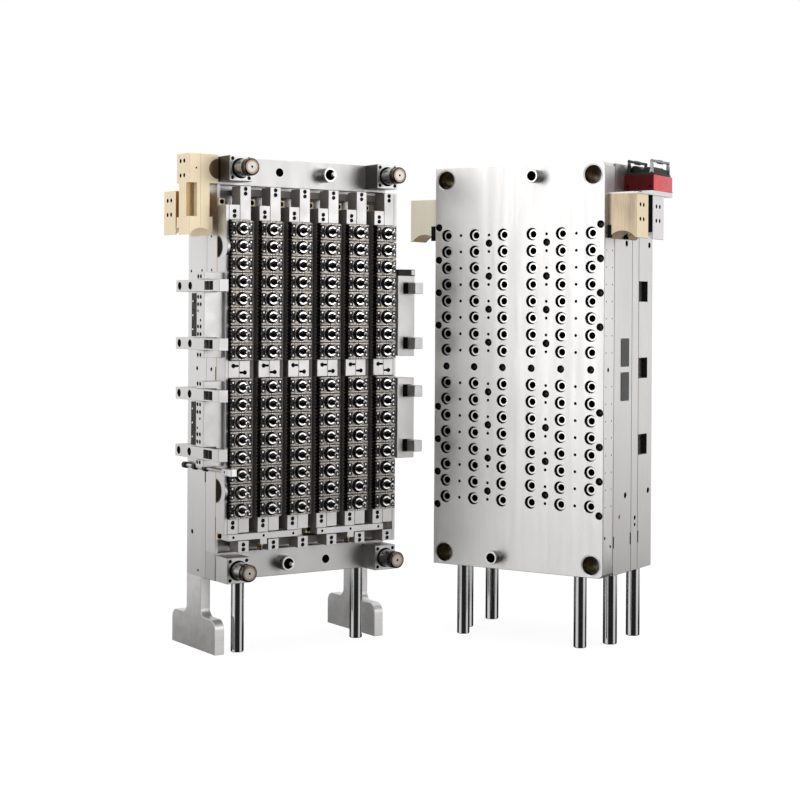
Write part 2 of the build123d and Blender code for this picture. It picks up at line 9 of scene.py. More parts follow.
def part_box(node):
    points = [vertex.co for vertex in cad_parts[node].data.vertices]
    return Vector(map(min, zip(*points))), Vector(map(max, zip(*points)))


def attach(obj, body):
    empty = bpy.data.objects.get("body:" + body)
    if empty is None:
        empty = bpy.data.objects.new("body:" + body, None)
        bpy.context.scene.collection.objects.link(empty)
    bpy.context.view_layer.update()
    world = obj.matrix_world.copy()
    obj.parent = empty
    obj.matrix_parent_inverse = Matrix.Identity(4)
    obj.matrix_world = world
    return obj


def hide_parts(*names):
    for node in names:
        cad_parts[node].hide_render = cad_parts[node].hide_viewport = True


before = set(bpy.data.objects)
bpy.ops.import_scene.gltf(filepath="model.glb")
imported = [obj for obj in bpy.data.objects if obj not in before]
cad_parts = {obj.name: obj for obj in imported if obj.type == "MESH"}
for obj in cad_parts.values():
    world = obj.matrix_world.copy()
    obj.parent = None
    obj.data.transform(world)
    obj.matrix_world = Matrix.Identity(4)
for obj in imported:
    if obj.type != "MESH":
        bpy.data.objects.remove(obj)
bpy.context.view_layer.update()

bl_info = {
    "name": "Preform mould",
    "version": (1, 0, 0),
    "blender": (4, 5, 0),
    "location": "3D View > Sidebar > Preform mould",
    "description": "Models and finishes the two standing halves of a preform mould",
    "category": "Add Mesh",
}

# Places are in millimetres in a half's own frame: across, behind the front plane, above the middle row.
MM = 0.001
COLUMNS = [98.0 * (k - 2.5) for k in range(6)]
ROWS = [50.0 * k for k in range(-8, 9) if k]
BANK_LOW, BANK_HIGH = 25.0, 425.0
GUIDES = [(x, z) for x in (-249.0, 249.0) for z in (-571.0, 571.0)]
HALF_WIDTH, HALF_HEIGHT = 287.5, 607.5
FLOOR = -820.0

# Depths of the plates and bars behind the front plane of their half
BAR_DEPTH = (24.7, 75.6)
STRIPPER_DEPTH = (84.0, 143.7)
CORE_PLATE_DEPTH = (144.3, 262.0)
WATER_BLOCK_DEPTH = (77.0, 143.7)

# How far dark marks stand proud of a flank, so that they are seen
MARK_RISE, LINE_RISE = 0.15, 0.12

# Angles in radians: above them an edge is broken, or is shaded sharp inside one finish or between two
BREAK_ANGLE, SHARP_ANGLE, BORDER_ANGLE = 0.6, 0.6, 0.1

# Directions of each side: two in its surface and the one that points out of it
SIDES = {
    "front": ((1, 0, 0), (0, 0, 1), (0, -1, 0)),
    "back": ((-1, 0, 0), (0, 0, 1), (0, 1, 0)),
    "left": ((0, -1, 0), (0, 0, 1), (-1, 0, 0)),
    "right": ((0, 1, 0), (0, 0, 1), (1, 0, 0)),
    "top": ((1, 0, 0), (0, 1, 0), (0, 0, 1)),
    "bottom": ((1, 0, 0), (0, -1, 0), (0, 0, -1)),
}


class Half:
    """One half of the mould: where its front plane stands, and how it is turned."""

    def __init__(self, name, plate, plate_depth, yaw):
        low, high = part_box(plate)
        self.name = name
        self.yaw = math.radians(yaw)
        turn = Matrix.Rotation(self.yaw, 4, "Z")
        home = (low + high) / 2 - turn @ Vector((0, plate_depth * MM, 0))
        self.matrix = Matrix.Translation(home) @ turn @ Matrix.Scale(MM, 4)


core_half = Half("core", "core_plate", 203.0, 33.8)
cavity_half = Half("cavity", "manifold_plate", 130.5, -32.4)


# ---------------------------------------------------------------- finishes


class Signal:
    """The value of one socket. Arithmetic on signals adds the Math nodes that work it out."""

    def __init__(self, finish, socket):
        self.finish = finish
        self.socket = socket

    def __add__(self, other):
        return self.finish.math("ADD", self, other)

    def __sub__(self, other):
        return self.finish.math("SUBTRACT", self, other)

    def __rsub__(self, other):
        return self.finish.math("SUBTRACT", other, self)

    def __mul__(self, other):
        return self.finish.math("MULTIPLY", self, other)

    __radd__ = __add__
    __rmul__ = __mul__


class Finish:
    """A material that is written as expressions on signals."""

    def __init__(self, name, tree=None):
        if tree is None:
            self.material = bpy.data.materials.new(name)
            self.material.use_nodes = True
            tree = self.material.node_tree
        self.tree = tree
        self.tree.nodes.clear()

    def plug(self, socket, value):
        if isinstance(value, Signal):
            self.tree.links.new(value.socket, socket)
        else:
            socket.default_value = value

    def node(self, kind, settings=None, values=None, output=0):
        made = self.tree.nodes.new(kind)
        for key, value in (settings or {}).items():
            if key == "stops":
                ramp = made.color_ramp
                while len(ramp.elements) < len(value):
                    ramp.elements.new(0.5)
                for element, (place, colour) in zip(ramp.elements, value):
                    element.position = place
                    element.color = colour
            else:
                setattr(made, key, value)
        for key, value in (values or {}).items():
            self.plug(made.inputs[key], value)
        return Signal(self, made.outputs[output])

    def outputs(self, signal, *names):
        """Signals from several outputs of the node that a signal comes from."""
        return [Signal(self, signal.socket.node.outputs[name]) for name in names]

    def end(self, kind, signal):
        """Lead a shader to the output node of this kind."""
        output = self.tree.nodes.new(kind)
        self.tree.links.new(signal.socket, output.inputs["Surface"])

    def math(self, operation, first, second):
        return self.node("ShaderNodeMath", {"operation": operation}, {0: first, 1: second})

    def blend(self, factor, first, second):
        values = {0: factor, 6: first, 7: second}
        return self.node("ShaderNodeMix", {"data_type": "RGBA"}, values, output=2)

    def grain(self, yaw, size, detail):
        """Noise with a grain of this size along the half's own three directions, in millimetres."""
        place = self.node("ShaderNodeTexCoord", output="Object")
        scale = tuple(s * MM for s in size)
        turned = self.node(
            "ShaderNodeMapping",
            {"vector_type": "TEXTURE"},
            {"Vector": place, "Rotation": (0.0, 0.0, yaw), "Scale": scale},
        )
        return self.node("ShaderNodeTexNoise", None, {"Vector": turned, "Scale": 1.0, "Detail": detail})

    def steps(self, signal, low, high):
        """The signal stretched so that low becomes 0 and high becomes 1, and held there."""
        values = {"Value": signal, "From Min": low, "From Max": high}
        return self.node("ShaderNodeMapRange", {"clamp": True}, values)

    def surface(self, bump, bump_depth, **values):
        """Lead the values to a Principled shader, with a bump of this depth in millimetres."""
        surface = self.node("ShaderNodeBsdfPrincipled")
        sockets = surface.socket.node.inputs
        for key, value in values.items():
            self.plug(sockets[key.replace("_", " ")], value)
        relief = {"Strength": 1.0, "Distance": bump_depth * MM, "Height": bump}
        self.plug(sockets["Normal"], self.node("ShaderNodeBump", None, relief))
        self.end("ShaderNodeOutputMaterial", surface)
        return self.material


def shade(colour, factor):
    """The colour made darker or lighter."""
    return tuple(min(1.0, c * factor) for c in colour[:3]) + (1.0,)


def grey(level):
    return (level, level, level, 1)


def ground_metal(name, half, colour, roughness, streak, stain, along="z", metallic=1.0):
    """Ground metal: fine grinding lines along one direction, broad streaks and faint stains."""
    finish = Finish(name)
    sizes = {
        "x": ((90, 1.4, 1.4), (320, 26, 26)),
        "y": ((1.4, 90, 1.4), (26, 320, 26)),
        "z": ((1.4, 1.4, 90), (26, 26, 320)),
        "none": ((2.5, 2.5, 2.5), (40, 40, 40)),
    }
    fine = finish.grain(half.yaw, sizes[along][0], 4.0)
    broad = finish.grain(half.yaw, sizes[along][1], 3.0)
    cloud = finish.grain(half.yaw, (150, 150, 210), 4.0)
    tone = finish.steps(fine, 0.3, 0.7) * streak + finish.steps(broad, 0.3, 0.7) * stain
    tone = tone + finish.steps(cloud, 0.35, 0.65) * stain
    low = shade(colour, 1.0 - streak / 2 - stain)
    high = shade(colour, 1.0 + streak / 2 + stain)
    base = finish.blend(tone * (1.0 / (streak + 2 * stain)), low, high)
    rough = roughness - 0.05 + 0.08 * finish.steps(broad, 0.3, 0.7) + 0.05 * fine
    return finish.surface(fine, 0.02, Base_Color=base, Roughness=rough, Metallic=metallic)


def mottled_metal(name, half, dark, light, roughness, size):
    """Worked metal with light scuffs over a darker skin. It also makes the neck rings' painted shade and
    painted highlights.
    """
    finish = Finish(name)
    scuffs = finish.grain(half.yaw, (size, size, size), 5.0)
    fine = finish.grain(half.yaw, (1.2, 1.2, 5.0), 3.0)
    patch = finish.steps(scuffs * 0.7 + fine * 0.3, 0.38, 0.62)
    base = finish.blend(patch, dark, light)
    rough = roughness + 0.15 * (1.0 - patch)
    return finish.surface(fine, 0.05, Base_Color=base, Roughness=rough, Metallic=1.0)


def turned_metal(name, half, colour, roughness, ring):
    """Turned or polished metal with faint tool marks and smears."""
    finish = Finish(name)
    marks = finish.grain(half.yaw, (3.0, 3.0, 0.9), 3.0)
    smear = finish.grain(half.yaw, (30, 30, 30), 3.0)
    share = finish.steps(marks * 0.5 + smear * 0.5, 0.35, 0.65)
    base = finish.blend(share, shade(colour, 1 - ring), colour)
    rough = roughness + 0.06 * finish.steps(smear, 0.4, 0.65)
    return finish.surface(marks, 0.004, Base_Color=base, Roughness=rough, Metallic=1.0)


def painted(name, half, colour, roughness, grain=1.2, bump=0.04, coat=0.0, sheen=0.5):
    """Paint or moulded plastic with a fine texture and slight fading."""
    finish = Finish(name)
    peel = finish.grain(half.yaw, (grain, grain, grain), 2.0)
    fade = finish.grain(half.yaw, (45, 45, 45), 3.0)
    base = finish.blend(finish.steps(fade, 0.35, 0.65), shade(colour, 0.86), shade(colour, 1.08))
    rough = roughness + 0.10 * finish.steps(peel, 0.3, 0.7)
    return finish.surface(
        peel, bump, Base_Color=base, Roughness=rough, Metallic=0.0, Coat_Weight=coat, Specular_IOR_Level=sheen
    )


def tinted_roller(name, half):
    """Heat-tinted steel: straw, brown and blue bands down the roller."""
    finish = Finish(name)
    place = finish.node("ShaderNodeTexCoord", output="Object")
    height = finish.node("ShaderNodeSeparateXYZ", None, {"Vector": place}, output="Z")
    smear = finish.grain(half.yaw, (4, 4, 4), 3.0)
    share = finish.steps(height + 0.002 * smear, 0.299, 0.317)
    stops = (
        (0.0, (0.05, 0.07, 0.35, 1)),
        (0.35, (0.25, 0.18, 0.22, 1)),
        (0.6, (0.62, 0.42, 0.12, 1)),
        (1.0, (0.72, 0.62, 0.35, 1)),
    )
    base = finish.node("ShaderNodeValToRGB", {"stops": stops}, {"Fac": share})
    rough = 0.22 + 0.1 * smear
    return finish.surface(smear, 0.01, Base_Color=base, Roughness=rough, Metallic=1.0)


def made_by(slot, maker, *values, **more):
    """A finish's record slot, and the function that makes its material for one half."""
    return slot, lambda name, half: maker(name, half, *values, **more)


def finish_recipes():
    """Every finish of the mould, by name."""
    tones = bpy.context.scene.mould_tones
    steel, pale, dark = (*tones.steel, 1), (*tones.pale_steel, 1), (*tones.dark_steel, 1)
    bronze, chrome = (*tones.bronze, 1), (*tones.chrome, 1)
    gold, red = (*tones.pale_gold, 1), (*tones.red, 1)
    black, light = (0.010, 0.010, 0.011, 1), (0.47, 0.43, 0.39, 1)
    shaded_gold_tone = (gold[0] * 0.46, gold[1] * 0.38, gold[2] * 0.28, 1)
    highlight_dim, glint = (0.22, 0.20, 0.18, 1), (0.68, 0.63, 0.58, 1)
    return {
        # ground is a darker copy of the plate steel for the stripper's head and foot, face a lighter one for
        # the cavity plate's front, foot a lighter one for the feet: painted shade and painted light
        "ground": made_by("plate_steel", ground_metal, shade(steel, 0.88), 0.40, 0.06, 0.05),
        "face": made_by("plate_steel", ground_metal, shade(steel, 1.18), 0.42, 0.05, 0.04),
        "flank": made_by("plate_steel", ground_metal, steel, 0.36, 0.07, 0.04),
        "pale": made_by("plate_steel", ground_metal, pale, 0.42, 0.05, 0.03, "none"),
        "foot": made_by("plate_steel", ground_metal, shade(steel, 1.06), 0.32, 0.08, 0.10, "x", metallic=0.7),
        "housing": made_by("plate_steel", ground_metal, shade(steel, 0.86), 0.36, 0.08, 0.05, "x"),
        "shadow": made_by("plate_steel", ground_metal, (0.11, 0.105, 0.10, 1), 0.30, 0.15, 0.2, "y"),
        "ring": made_by("dark_steel", mottled_metal, dark, light, 0.30, 7.0),
        # The two rows below are darker copies of the ring steel: painted shade for a recess around the screws
        # and for the blocks' side faces
        "ring_dark": made_by("dark_steel", mottled_metal, black, (0.075, 0.07, 0.068, 1), 0.34, 4.0),
        "ring_side": made_by("dark_steel", mottled_metal, black, dark, 0.42, 5.0),
        "cone": made_by("dark_steel", turned_metal, (0.07, 0.066, 0.062, 1), 0.22, 0.3),
        "lip": made_by("plate_steel", turned_metal, (0.95, 0.94, 0.93, 1), 0.20, 0.03),
        "nose": made_by("plate_steel", turned_metal, grey(0.90), 0.30, 0.04),
        # core is a dark copy of the chrome: painted reflection of the dark around the cores
        "core": made_by("core_steel", turned_metal, shade(chrome, 0.10), 0.16, 0.2),
        "screw": made_by("dark_steel", mottled_metal, grey(0.006), grey(0.016), 0.40, 4.0),
        "socket": made_by("dark_steel", mottled_metal, grey(0.02), grey(0.07), 0.45, 3.0),
        # hole, well and taper are near black: painted shade inside holes, bores and the seats' taper walls;
        # hole is also the black of the dark lines where plates meet
        "hole": made_by("dark_steel", painted, grey(0.010), 0.70, 3.0, sheen=0.1),
        "well": made_by("dark_steel", turned_metal, grey(0.05), 0.35, 0.3),
        "taper": made_by("plate_steel", turned_metal, (0.035, 0.035, 0.036, 1), 0.22, 0.3),
        # rail is a dark grey-brown for the bars' side faces, the webs behind the rings and the rails and link
        # bars in the gaps: painted shade
        "rail": made_by("dark_steel", painted, (0.17, 0.155, 0.14, 1), 0.55, 3.0),
        "wear": made_by("bronze", ground_metal, bronze, 0.40, 0.08, 0.08),
        "bush": made_by("bronze", turned_metal, shade(bronze, 0.45), 0.28, 0.2),
        "gold": made_by("gold_block", ground_metal, gold, 0.42, 0.06, 0.06, metallic=0.45),
        # A darker copy of the gold for the arches' undersides, a pocket's front and dark patches: painted
        # shade
        "gold_dark": made_by("gold_block", ground_metal, shaded_gold_tone, 0.36, 0.25, 0.25),
        # A lighter, non-metallic copy of the gold for the left block: painted light
        "gold_pale": made_by("gold_block", ground_metal, (1.0, 0.90, 0.72, 1), 0.5, 0.05, 0.05, metallic=0.0),
        # A darker, streaky copy of the gold for the right block's front: painted shade
        "gold_cut": made_by("gold_block", ground_metal, shade(gold, 0.40), 0.30, 0.30, 0.45, metallic=0.9),
        "silver": made_by(
            "silver_block", ground_metal, (0.90, 0.88, 0.89, 1), 0.42, 0.05, 0.05, "none", metallic=0.8
        ),
        "chrome": made_by("post_chrome", turned_metal, chrome, 0.09, 0.04),
        "pin": made_by("dark_steel", turned_metal, (0.52, 0.50, 0.48, 1), 0.22, 0.12),
        "pin_dark": made_by("dark_steel", turned_metal, (0.11, 0.10, 0.095, 1), 0.24, 0.2),
        "pin_end": made_by("plate_steel", turned_metal, (0.50, 0.475, 0.45, 1), 0.30, 0.08),
        "pin_ring": made_by("bronze", turned_metal, (0.34, 0.24, 0.17, 1), 0.32, 0.1),
        "red": made_by("red_housing", painted, red, 0.34, coat=0.25),
        # A darker copy of the red for the housing's front faces: painted shade
        "red_dark": made_by("red_housing", painted, shade(red, 0.11), 0.60, sheen=0.1),
        "plastic": made_by("black_plastic", painted, (0.012, 0.014, 0.013, 1), 0.38, sheen=0.3),
        "latch": made_by("latch_metal", mottled_metal, black, grey(0.10), 0.35, 6.0),
        "bail": made_by("latch_metal", mottled_metal, grey(0.20), grey(0.55), 0.35, 6.0),
        # A light mottle for the bands and pads on the ring blocks' top and bottom edges: painted highlights
        "ring_light": made_by("dark_steel", mottled_metal, highlight_dim, glint, 0.34, 6.0),
        "roller": made_by("tie_roller", tinted_roller),
        "label": made_by("dark_steel", painted, (0.055, 0.055, 0.058, 1), 0.45, 2.0, 0.02),
        "brass": made_by("bronze", turned_metal, (0.70, 0.38, 0.16, 1), 0.32, 0.15),
    }


# The finishes in the order in which a piece lists its materials
finish_names = [
    "ground", "face", "flank", "pale", "foot", "housing", "shadow",
    "ring", "ring_dark", "ring_side", "cone", "lip", "nose", "core", "screw", "socket",
    "hole", "well", "taper", "rail", "wear", "bush",
    "gold", "gold_dark", "gold_pale", "gold_cut", "silver", "chrome",
    "pin", "pin_dark", "pin_end", "pin_ring", "red", "red_dark", "plastic",
    "latch", "bail", "ring_light", "roller", "label", "brass",
]
made_finishes = {}


def finish_for(name, half):
    """The material of this finish on this half, made when it is first asked for."""
    key = f"{name}_{half.name}"
    if key not in made_finishes:
        made_finishes[key] = finish_recipes()[name][1](key, half)
    return made_finishes[key]


# ---------------------------------------------------------------- modelling


def seat(side, place):
    """Where a round form stands on a side: its third axis points out of the surface."""
    columns = Matrix(SIDES[side]).transposed().to_4x4()
    return Matrix.Translation(place) @ columns


def only(kind, geometry):
    """The vertices, edges or faces among what a bmesh operator returns."""
    return [part for part in geometry if isinstance(part, kind)]


def span(way, first, second):
    """Bounds on the right of the middle, or on the left where the way is -1."""
    return tuple(sorted((way * first, way * second)))


def paint_index(faces, index):
    for face in faces:
        face.material_index = index


def paint(faces, finish):
    paint_index(faces, finish_names.index(finish))


def rings(bm, stand, profile, sides, stretch=0.0):
    """Open rings on a stand, through (radius, height, finish) steps. Returns the first and last loop."""
    radius, height = profile[0][:2]
    start = stand @ Matrix.Translation((0, 0, height))
    made = bmesh.ops.create_circle(bm, cap_ends=False, segments=sides, radius=radius, matrix=start)
    made = made["verts"]
    if stretch:
        for way in (-1, 1):
            half = [v for v in made if way * (start.inverted() @ v.co).x > 1e-6]
            bmesh.ops.translate(bm, vec=start.to_3x3() @ Vector((way * stretch, 0, 0)), verts=half)
    first = list({e for v in made for e in v.link_edges})
    last = first
    for next_radius, next_height, finish in profile[1:]:
        grown = bmesh.ops.extrude_edge_only(bm, edges=last)["geom"]
        verts = only(BMVert, grown)
        known = set(verts)
        last = [edge for edge in only(BMEdge, grown) if known.issuperset(edge.verts)]
        if abs(next_radius - radius) > 1e-9:
            factor = next_radius / radius
            space = (stand @ Matrix.Translation((0, 0, height))).inverted()
            bmesh.ops.scale(bm, vec=(factor, factor, 1), space=space, verts=verts)
        bmesh.ops.translate(bm, vec=stand.to_3x3() @ Vector((0, 0, next_height - height)), verts=verts)
        paint(only(BMFace, grown), finish)
        radius, height = next_radius, next_height
    return first, last


def cap(bm, loop, finish):
    paint(bmesh.ops.contextual_create(bm, geom=loop)["faces"], finish)


class Hole:
    """A round or long hole in one side, with its steps and the number of its sides.

    A hole that goes through has no floor, and the side across from it has one of a single step.
    """

    def __init__(self, side, place, profile, sides, stretch=0.0, through=False):
        self.side = side
        self.place = Vector(place)
        self.profile = profile
        self.sides = sides
        self.stretch = stretch
        self.through = through


def pierce(bm, holes):
    """Cut the holes into the flat faces of their sides."""
    for side in sorted({hole.side for hole in holes}):
        along, up, outward = (Vector(way) for way in SIDES[side])
        waiting = [hole for hole in holes if hole.side == side]
        for face in [f for f in bm.faces if f.normal.dot(outward) > 0.999]:
            level = face.verts[0].co.dot(outward)
            spots = [(v.co.dot(along), v.co.dot(up)) for v in face.verts]
            low, high = [min(axis) for axis in zip(*spots)], [max(axis) for axis in zip(*spots)]
            inside = [
                hole for hole in waiting
                if low[0] < hole.place.dot(along) < high[0] and low[1] < hole.place.dot(up) < high[1]
            ]
            if not inside:
                continue
            waiting = [hole for hole in waiting if hole not in inside]
            index = face.material_index
            edges = list(face.edges)
            bmesh.ops.delete(bm, geom=[face], context="FACES_ONLY")
            for hole in inside:
                place = hole.place + outward * (level - hole.place.dot(outward))
                first, last = rings(bm, seat(side, place), hole.profile, hole.sides, hole.stretch)
                if not hole.through:
                    cap(bm, last, hole.profile[-1][2])
                edges += first
            filled = bmesh.ops.triangle_fill(bm, use_beauty=True, edges=edges, normal=outward)
            paint_index(only(BMFace, filled["geom"]), index)
        if waiting:
            raise ValueError(f"{len(waiting)} holes of the {side} side meet no face")


def split(bm, cuts):
    """Divide the faces along planes, given as a direction and a level along it."""
    for way, level in cuts:
        geometry = bm.verts[:] + bm.edges[:] + bm.faces[:]
        bmesh.ops.bisect_plane(bm, geom=geometry, dist=1e-4, plane_co=Vector(way) * level, plane_no=way)


def extruded(points, shift):
    """A closed part: a face through the points, carried along a vector."""
    part = bmesh.new()
    face = part.faces.new([part.verts.new(point) for point in points])
    moved = bmesh.ops.extrude_face_region(part, geom=[face])["geom"]
    bmesh.ops.translate(part, vec=shift, verts=only(BMVert, moved))
    bmesh.ops.recalc_face_normals(part, faces=part.faces[:])
    return part


def break_edges(part, edges, width, segments=1):
    bmesh.ops.bevel(
        part, geom=edges, offset=width, offset_type="OFFSET", segments=segments, profile=0.5,
        affect="EDGES", material=-1, clamp_overlap=True,
    )


class Shape:
    """One piece while it is modelled, in millimetres in its half's own frame."""

    def __init__(self):
        self.bm = bmesh.new()

    def take(self, part):
        """Add a finished closed part."""
        bmesh.ops.recalc_face_normals(part, faces=part.faces[:])
        mesh = bpy.data.meshes.new("part")
        part.to_mesh(mesh)
        part.free()
        self.bm.from_mesh(mesh)
        bpy.data.meshes.remove(mesh)

    def block(self, across, behind, above, finish, bevel=0.8, holes=(), segments=1, seam=None, flanks=None):
        """A block between bounds, with broken edges."""
        bounds = (across, behind, above)
        middle = Matrix.Translation([(low + high) / 2 for low, high in bounds])
        part = bmesh.new()
        stretch = Matrix.Diagonal([high - low for low, high in bounds] + [1])
        bmesh.ops.create_cube(part, size=1.0, matrix=middle @ stretch)
        self.close(part, finish, bevel, holes, segments, seam=seam, flanks=flanks)

    def prism(self, side, outline, near, far, finish, bevel=0.8, holes=(), cuts=(), seam=None):
        """An outline on a side, as (along, up) points, carried from one level to another."""
        place, way = {
            "front": (lambda a, b: (a, near, b), (0, 1, 0)),
            "left": (lambda a, b: (near, a, b), (1, 0, 0)),
            "top": (lambda a, b: (a, b, near), (0, 0, 1)),
        }[side]
        part = extruded([place(a, b) for a, b in outline], Vector(way) * (far - near))
        self.close(part, finish, bevel, holes, cuts=cuts, seam=seam)

    def close(self, part, finish, bevel, holes, segments=1, cuts=(), seam=None, flanks=None):
        """Break the edges, cut the holes and add the part. No edge is broken at the depth of a seam."""
        part.normal_update()
        if bevel:
            sharp = [e for e in part.edges if e.calc_face_angle(0.0) > BREAK_ANGLE]
            if seam is not None:
                sharp = [e for e in sharp if any(abs(v.co.y - seam) > 1e-3 for v in e.verts)]
            break_edges(part, sharp, bevel, segments)
        paint(part.faces, finish)
        if flanks:
            part.normal_update()
            paint([f for f in part.faces if abs(f.normal.x) > 0.9], flanks)
        split(part, cuts)
        part.normal_update()
        pierce(part, holes)
        self.take(part)

    def rod(self, side, place, profile, sides):
        """A turned form on a side. Heights point out of it, and each step has its own finish."""
        part = bmesh.new()
        first, last = rings(part, seat(side, place), profile, sides)
        cap(part, first, profile[1][2])
        cap(part, last, profile[-1][2])
        self.take(part)

    def copy_in(self, mesh, matrix):
        copy = mesh.copy()
        copy.transform(matrix)
        self.bm.from_mesh(copy)
        bpy.data.meshes.remove(copy)

    def stamp(self, mesh, side, places):
        """Set copies of a small mesh on a side."""
        for place in places:
            self.copy_in(mesh, seat(side, place))

    def mesh(self, name):
        made = bpy.data.meshes.new(name)
        self.bm.to_mesh(made)
        self.bm.free()
        return made

    def finish(self, name, half, body, replaced):
        """Make the object, give it its finishes, and let it ride on its body in the place of a CAD node."""
        for face in self.bm.faces:
            face.smooth = True
        for edge in self.bm.edges:
            kinds = {face.material_index for face in edge.link_faces}
            limit = SHARP_ANGLE if len(kinds) == 1 else BORDER_ANGLE
            edge.smooth = len(edge.link_faces) == 2 and edge.calc_face_angle(4.0) < limit
        used = sorted({face.material_index for face in self.bm.faces})
        for face in self.bm.faces:
            face.material_index = used.index(face.material_index)
        mesh = self.mesh(name)
        mesh.transform(half.matrix)
        for index in used:
            mesh.materials.append(finish_for(finish_names[index], half))
        piece = bpy.data.objects.new(name, mesh)
        bpy.context.scene.collection.objects.link(piece)
        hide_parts(replaced)
        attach(piece, body)
        finish_recipes()[finish_names[used[0]]][0]


def cap_screw(radius, deep, sides):
    """The head of a socket screw, with its six-sided socket."""
    part = bmesh.new()
    profile = ((radius, -deep, "screw"), (radius, -0.12 * radius, "screw"), (0.88 * radius, 0.0, "screw"))
    first, last = rings(part, Matrix(), profile, sides)
    cap(part, first, "screw")
    socket = ((0.46 * radius, 0.0, "socket"), (0.40 * radius, -0.10 * radius, "socket"))
    rim, floor = rings(part, Matrix(), socket, 6)
    cap(part, floor, "socket")
    filled = bmesh.ops.triangle_fill(part, use_beauty=True, edges=last + rim, normal=(0, 0, 1))
    paint(only(BMFace, filled["geom"]), "screw")
    shape = Shape()
    shape.take(part)
    return shape.mesh("cap_screw")


def plain(radius, deep):
    """The steps of a drilled hole."""
    return ((radius, 0.0, "hole"), (radius, -deep, "hole"))


def port(radius, deep, edge):
    """The steps of a tapped port with a bright chamfer."""
    return ((radius, 0.0, "hole"), (radius - edge, -edge, "nose"), (radius - edge, -deep, "hole"))


WATER_PORT = ((6.2, 0.0, "nose"), (5.6, -0.6, "hole"), (5.6, -30.0, "hole"))


def bored(holes, side, places, radius, deep, sides):
    """Add counterbores for screws to the holes. Returns where the screws' heads sit."""
    outward = Vector(SIDES[side][2])
    profile = ((radius, 0.0, "nose"), (radius - 0.6, -0.6, "nose"), (radius - 0.6, -deep, "hole"))
    holes += [Hole(side, place, profile, sides) for place in places]
    return [Vector(place) - outward * (deep - 3.0) for place in places]


def arc(middle, radius, start, stop, steps):
    """Points on an arc, from one angle in degrees to the other."""
    turns = [math.radians(start + (stop - start) * k / steps) for k in range(steps + 1)]
    return [(middle[0] + radius * math.cos(t), middle[1] + radius * math.sin(t)) for t in turns]


def arched(low, high, bottom, top, rise=20.0, radius=54.0):
    """The outline of a block whose underside is cut by a flat arch."""
    middle = (low + high) / 2
    reach = math.sqrt(radius**2 - (radius - rise) ** 2)
    angle = math.degrees(math.asin(reach / radius))
    bow = arc((middle, bottom + rise - radius), radius, 90 + angle, 90 - angle, 18)
    return [(low, bottom), *bow, (high, bottom), (high, top), (low, top)]


# ---------------------------------------------------------------- what a user would change


def length(name, description, default):
    return bpy.props.FloatProperty(name=name, description=description, default=default, unit="LENGTH")


def colour(name, description, default):
    return bpy.props.FloatVectorProperty(
        name=name, description=description, default=default, subtype="COLOR"
    )


class MouldSizes(bpy.types.PropertyGroup):
    """Sizes of the details that the scene adds to the mould."""

    edge: length("Broken edge", "Width of the broken edges of the plates", 0.0012)
    seat_mouth: length("Seat mouth", "Radius of a cavity seat at the face", 0.0193)
    seat_floor: length("Seat floor", "Radius of a cavity seat at its floor", 0.0146)
    bore: length("Cavity bore", "Radius of a cavity bore", 0.0098)
    plate_screw: length("Plate screw", "Radius of a counterbore in the cavity plate", 0.0118)
    nose: length("Ring nose", "Radius of the front of a neck ring", 0.01425)
    core: length("Core", "Radius of a core", 0.0074)
    bar_screw: length("Bar screw", "Radius of a counterbore in a slide bar", 0.0064)


class MouldTones(bpy.types.PropertyGroup):
    """Colours of the mould's finishes and of the studio."""

    steel: colour("Plate steel", "Ground plates", (0.78, 0.77, 0.76))
    pale_steel: colour("Pale steel", "Slide bars and covers", (0.80, 0.785, 0.775))
    dark_steel: colour("Dark steel", "Neck rings", (0.085, 0.078, 0.072))
    chrome: colour("Chrome", "Posts and cores", (0.80, 0.80, 0.80))
    bronze: colour("Bronze", "Wear plate and bushings", (0.66, 0.50, 0.28))
    pale_gold: colour("Pale gold", "Water blocks", (0.98, 0.80, 0.56))
    red: colour("Red", "Connector housing", (0.76, 0.06, 0.07))
    floor: colour("Floor", "Studio floor", (0.90, 0.90, 0.90))


def sizes():
    """The chosen sizes in millimetres, by name."""
    group = bpy.context.scene.mould_sizes
    return {key: getattr(group, key) / MM for key in MouldSizes.__annotations__}


class MouldOperator:
    """What the operators share: each builds its pieces with the chosen sizes."""

    bl_options = {"REGISTER", "UNDO"}

    def execute(self, context):
        self.build(sizes())
        return {"FINISHED"}


# ---------------------------------------------------------------- studio


# How bright the mirrored room is, and where its softboxes begin and end, as shares of a direction
ROOM_LEVEL, SOFTBOX_LEVEL = 0.035, 1.52
LEFT_BOX, RIGHT_BOX, BOX_DEPTH, REAR_DEPTH = (-0.52, -0.76), (0.66, 0.86), (0.12, -0.12), (0.0, 0.30)

# The camera was fitted to the photo, in its pixels: width, focal length, middle row and level row
PHOTO_WIDTH, FOCAL_LENGTH, MIDDLE_ROW, LEVEL_ROW = 800.0, 1699.16, 399.0, 309.3
SENSOR_WIDTH = 36.0

# Where the camera stands from the middle of the cavity half's front, in metres, and how it leans, in degrees
CAMERA_PLACE, CAMERA_LEAN = (-0.35063, -5.09033, 0.1735), -0.36

WHITE = (1.0, 1.0, 1.0, 1)
RAYS = ("Is Camera Ray", "Is Glossy Ray", "Is Transmission Ray")


def softboxes(finish, across, away, rear_level):
    """How bright mirrors see the room: dark, with a wide softbox to each side in front and a pale rear."""
    depth = finish.steps(away, *BOX_DEPTH)
    left, right = finish.steps(across, *LEFT_BOX) * depth, finish.steps(across, *RIGHT_BOX) * depth
    front = finish.math("MAXIMUM", left, right) * SOFTBOX_LEVEL
    return ROOM_LEVEL + finish.math("MAXIMUM", front, finish.steps(away, *REAR_DEPTH) * rear_level)


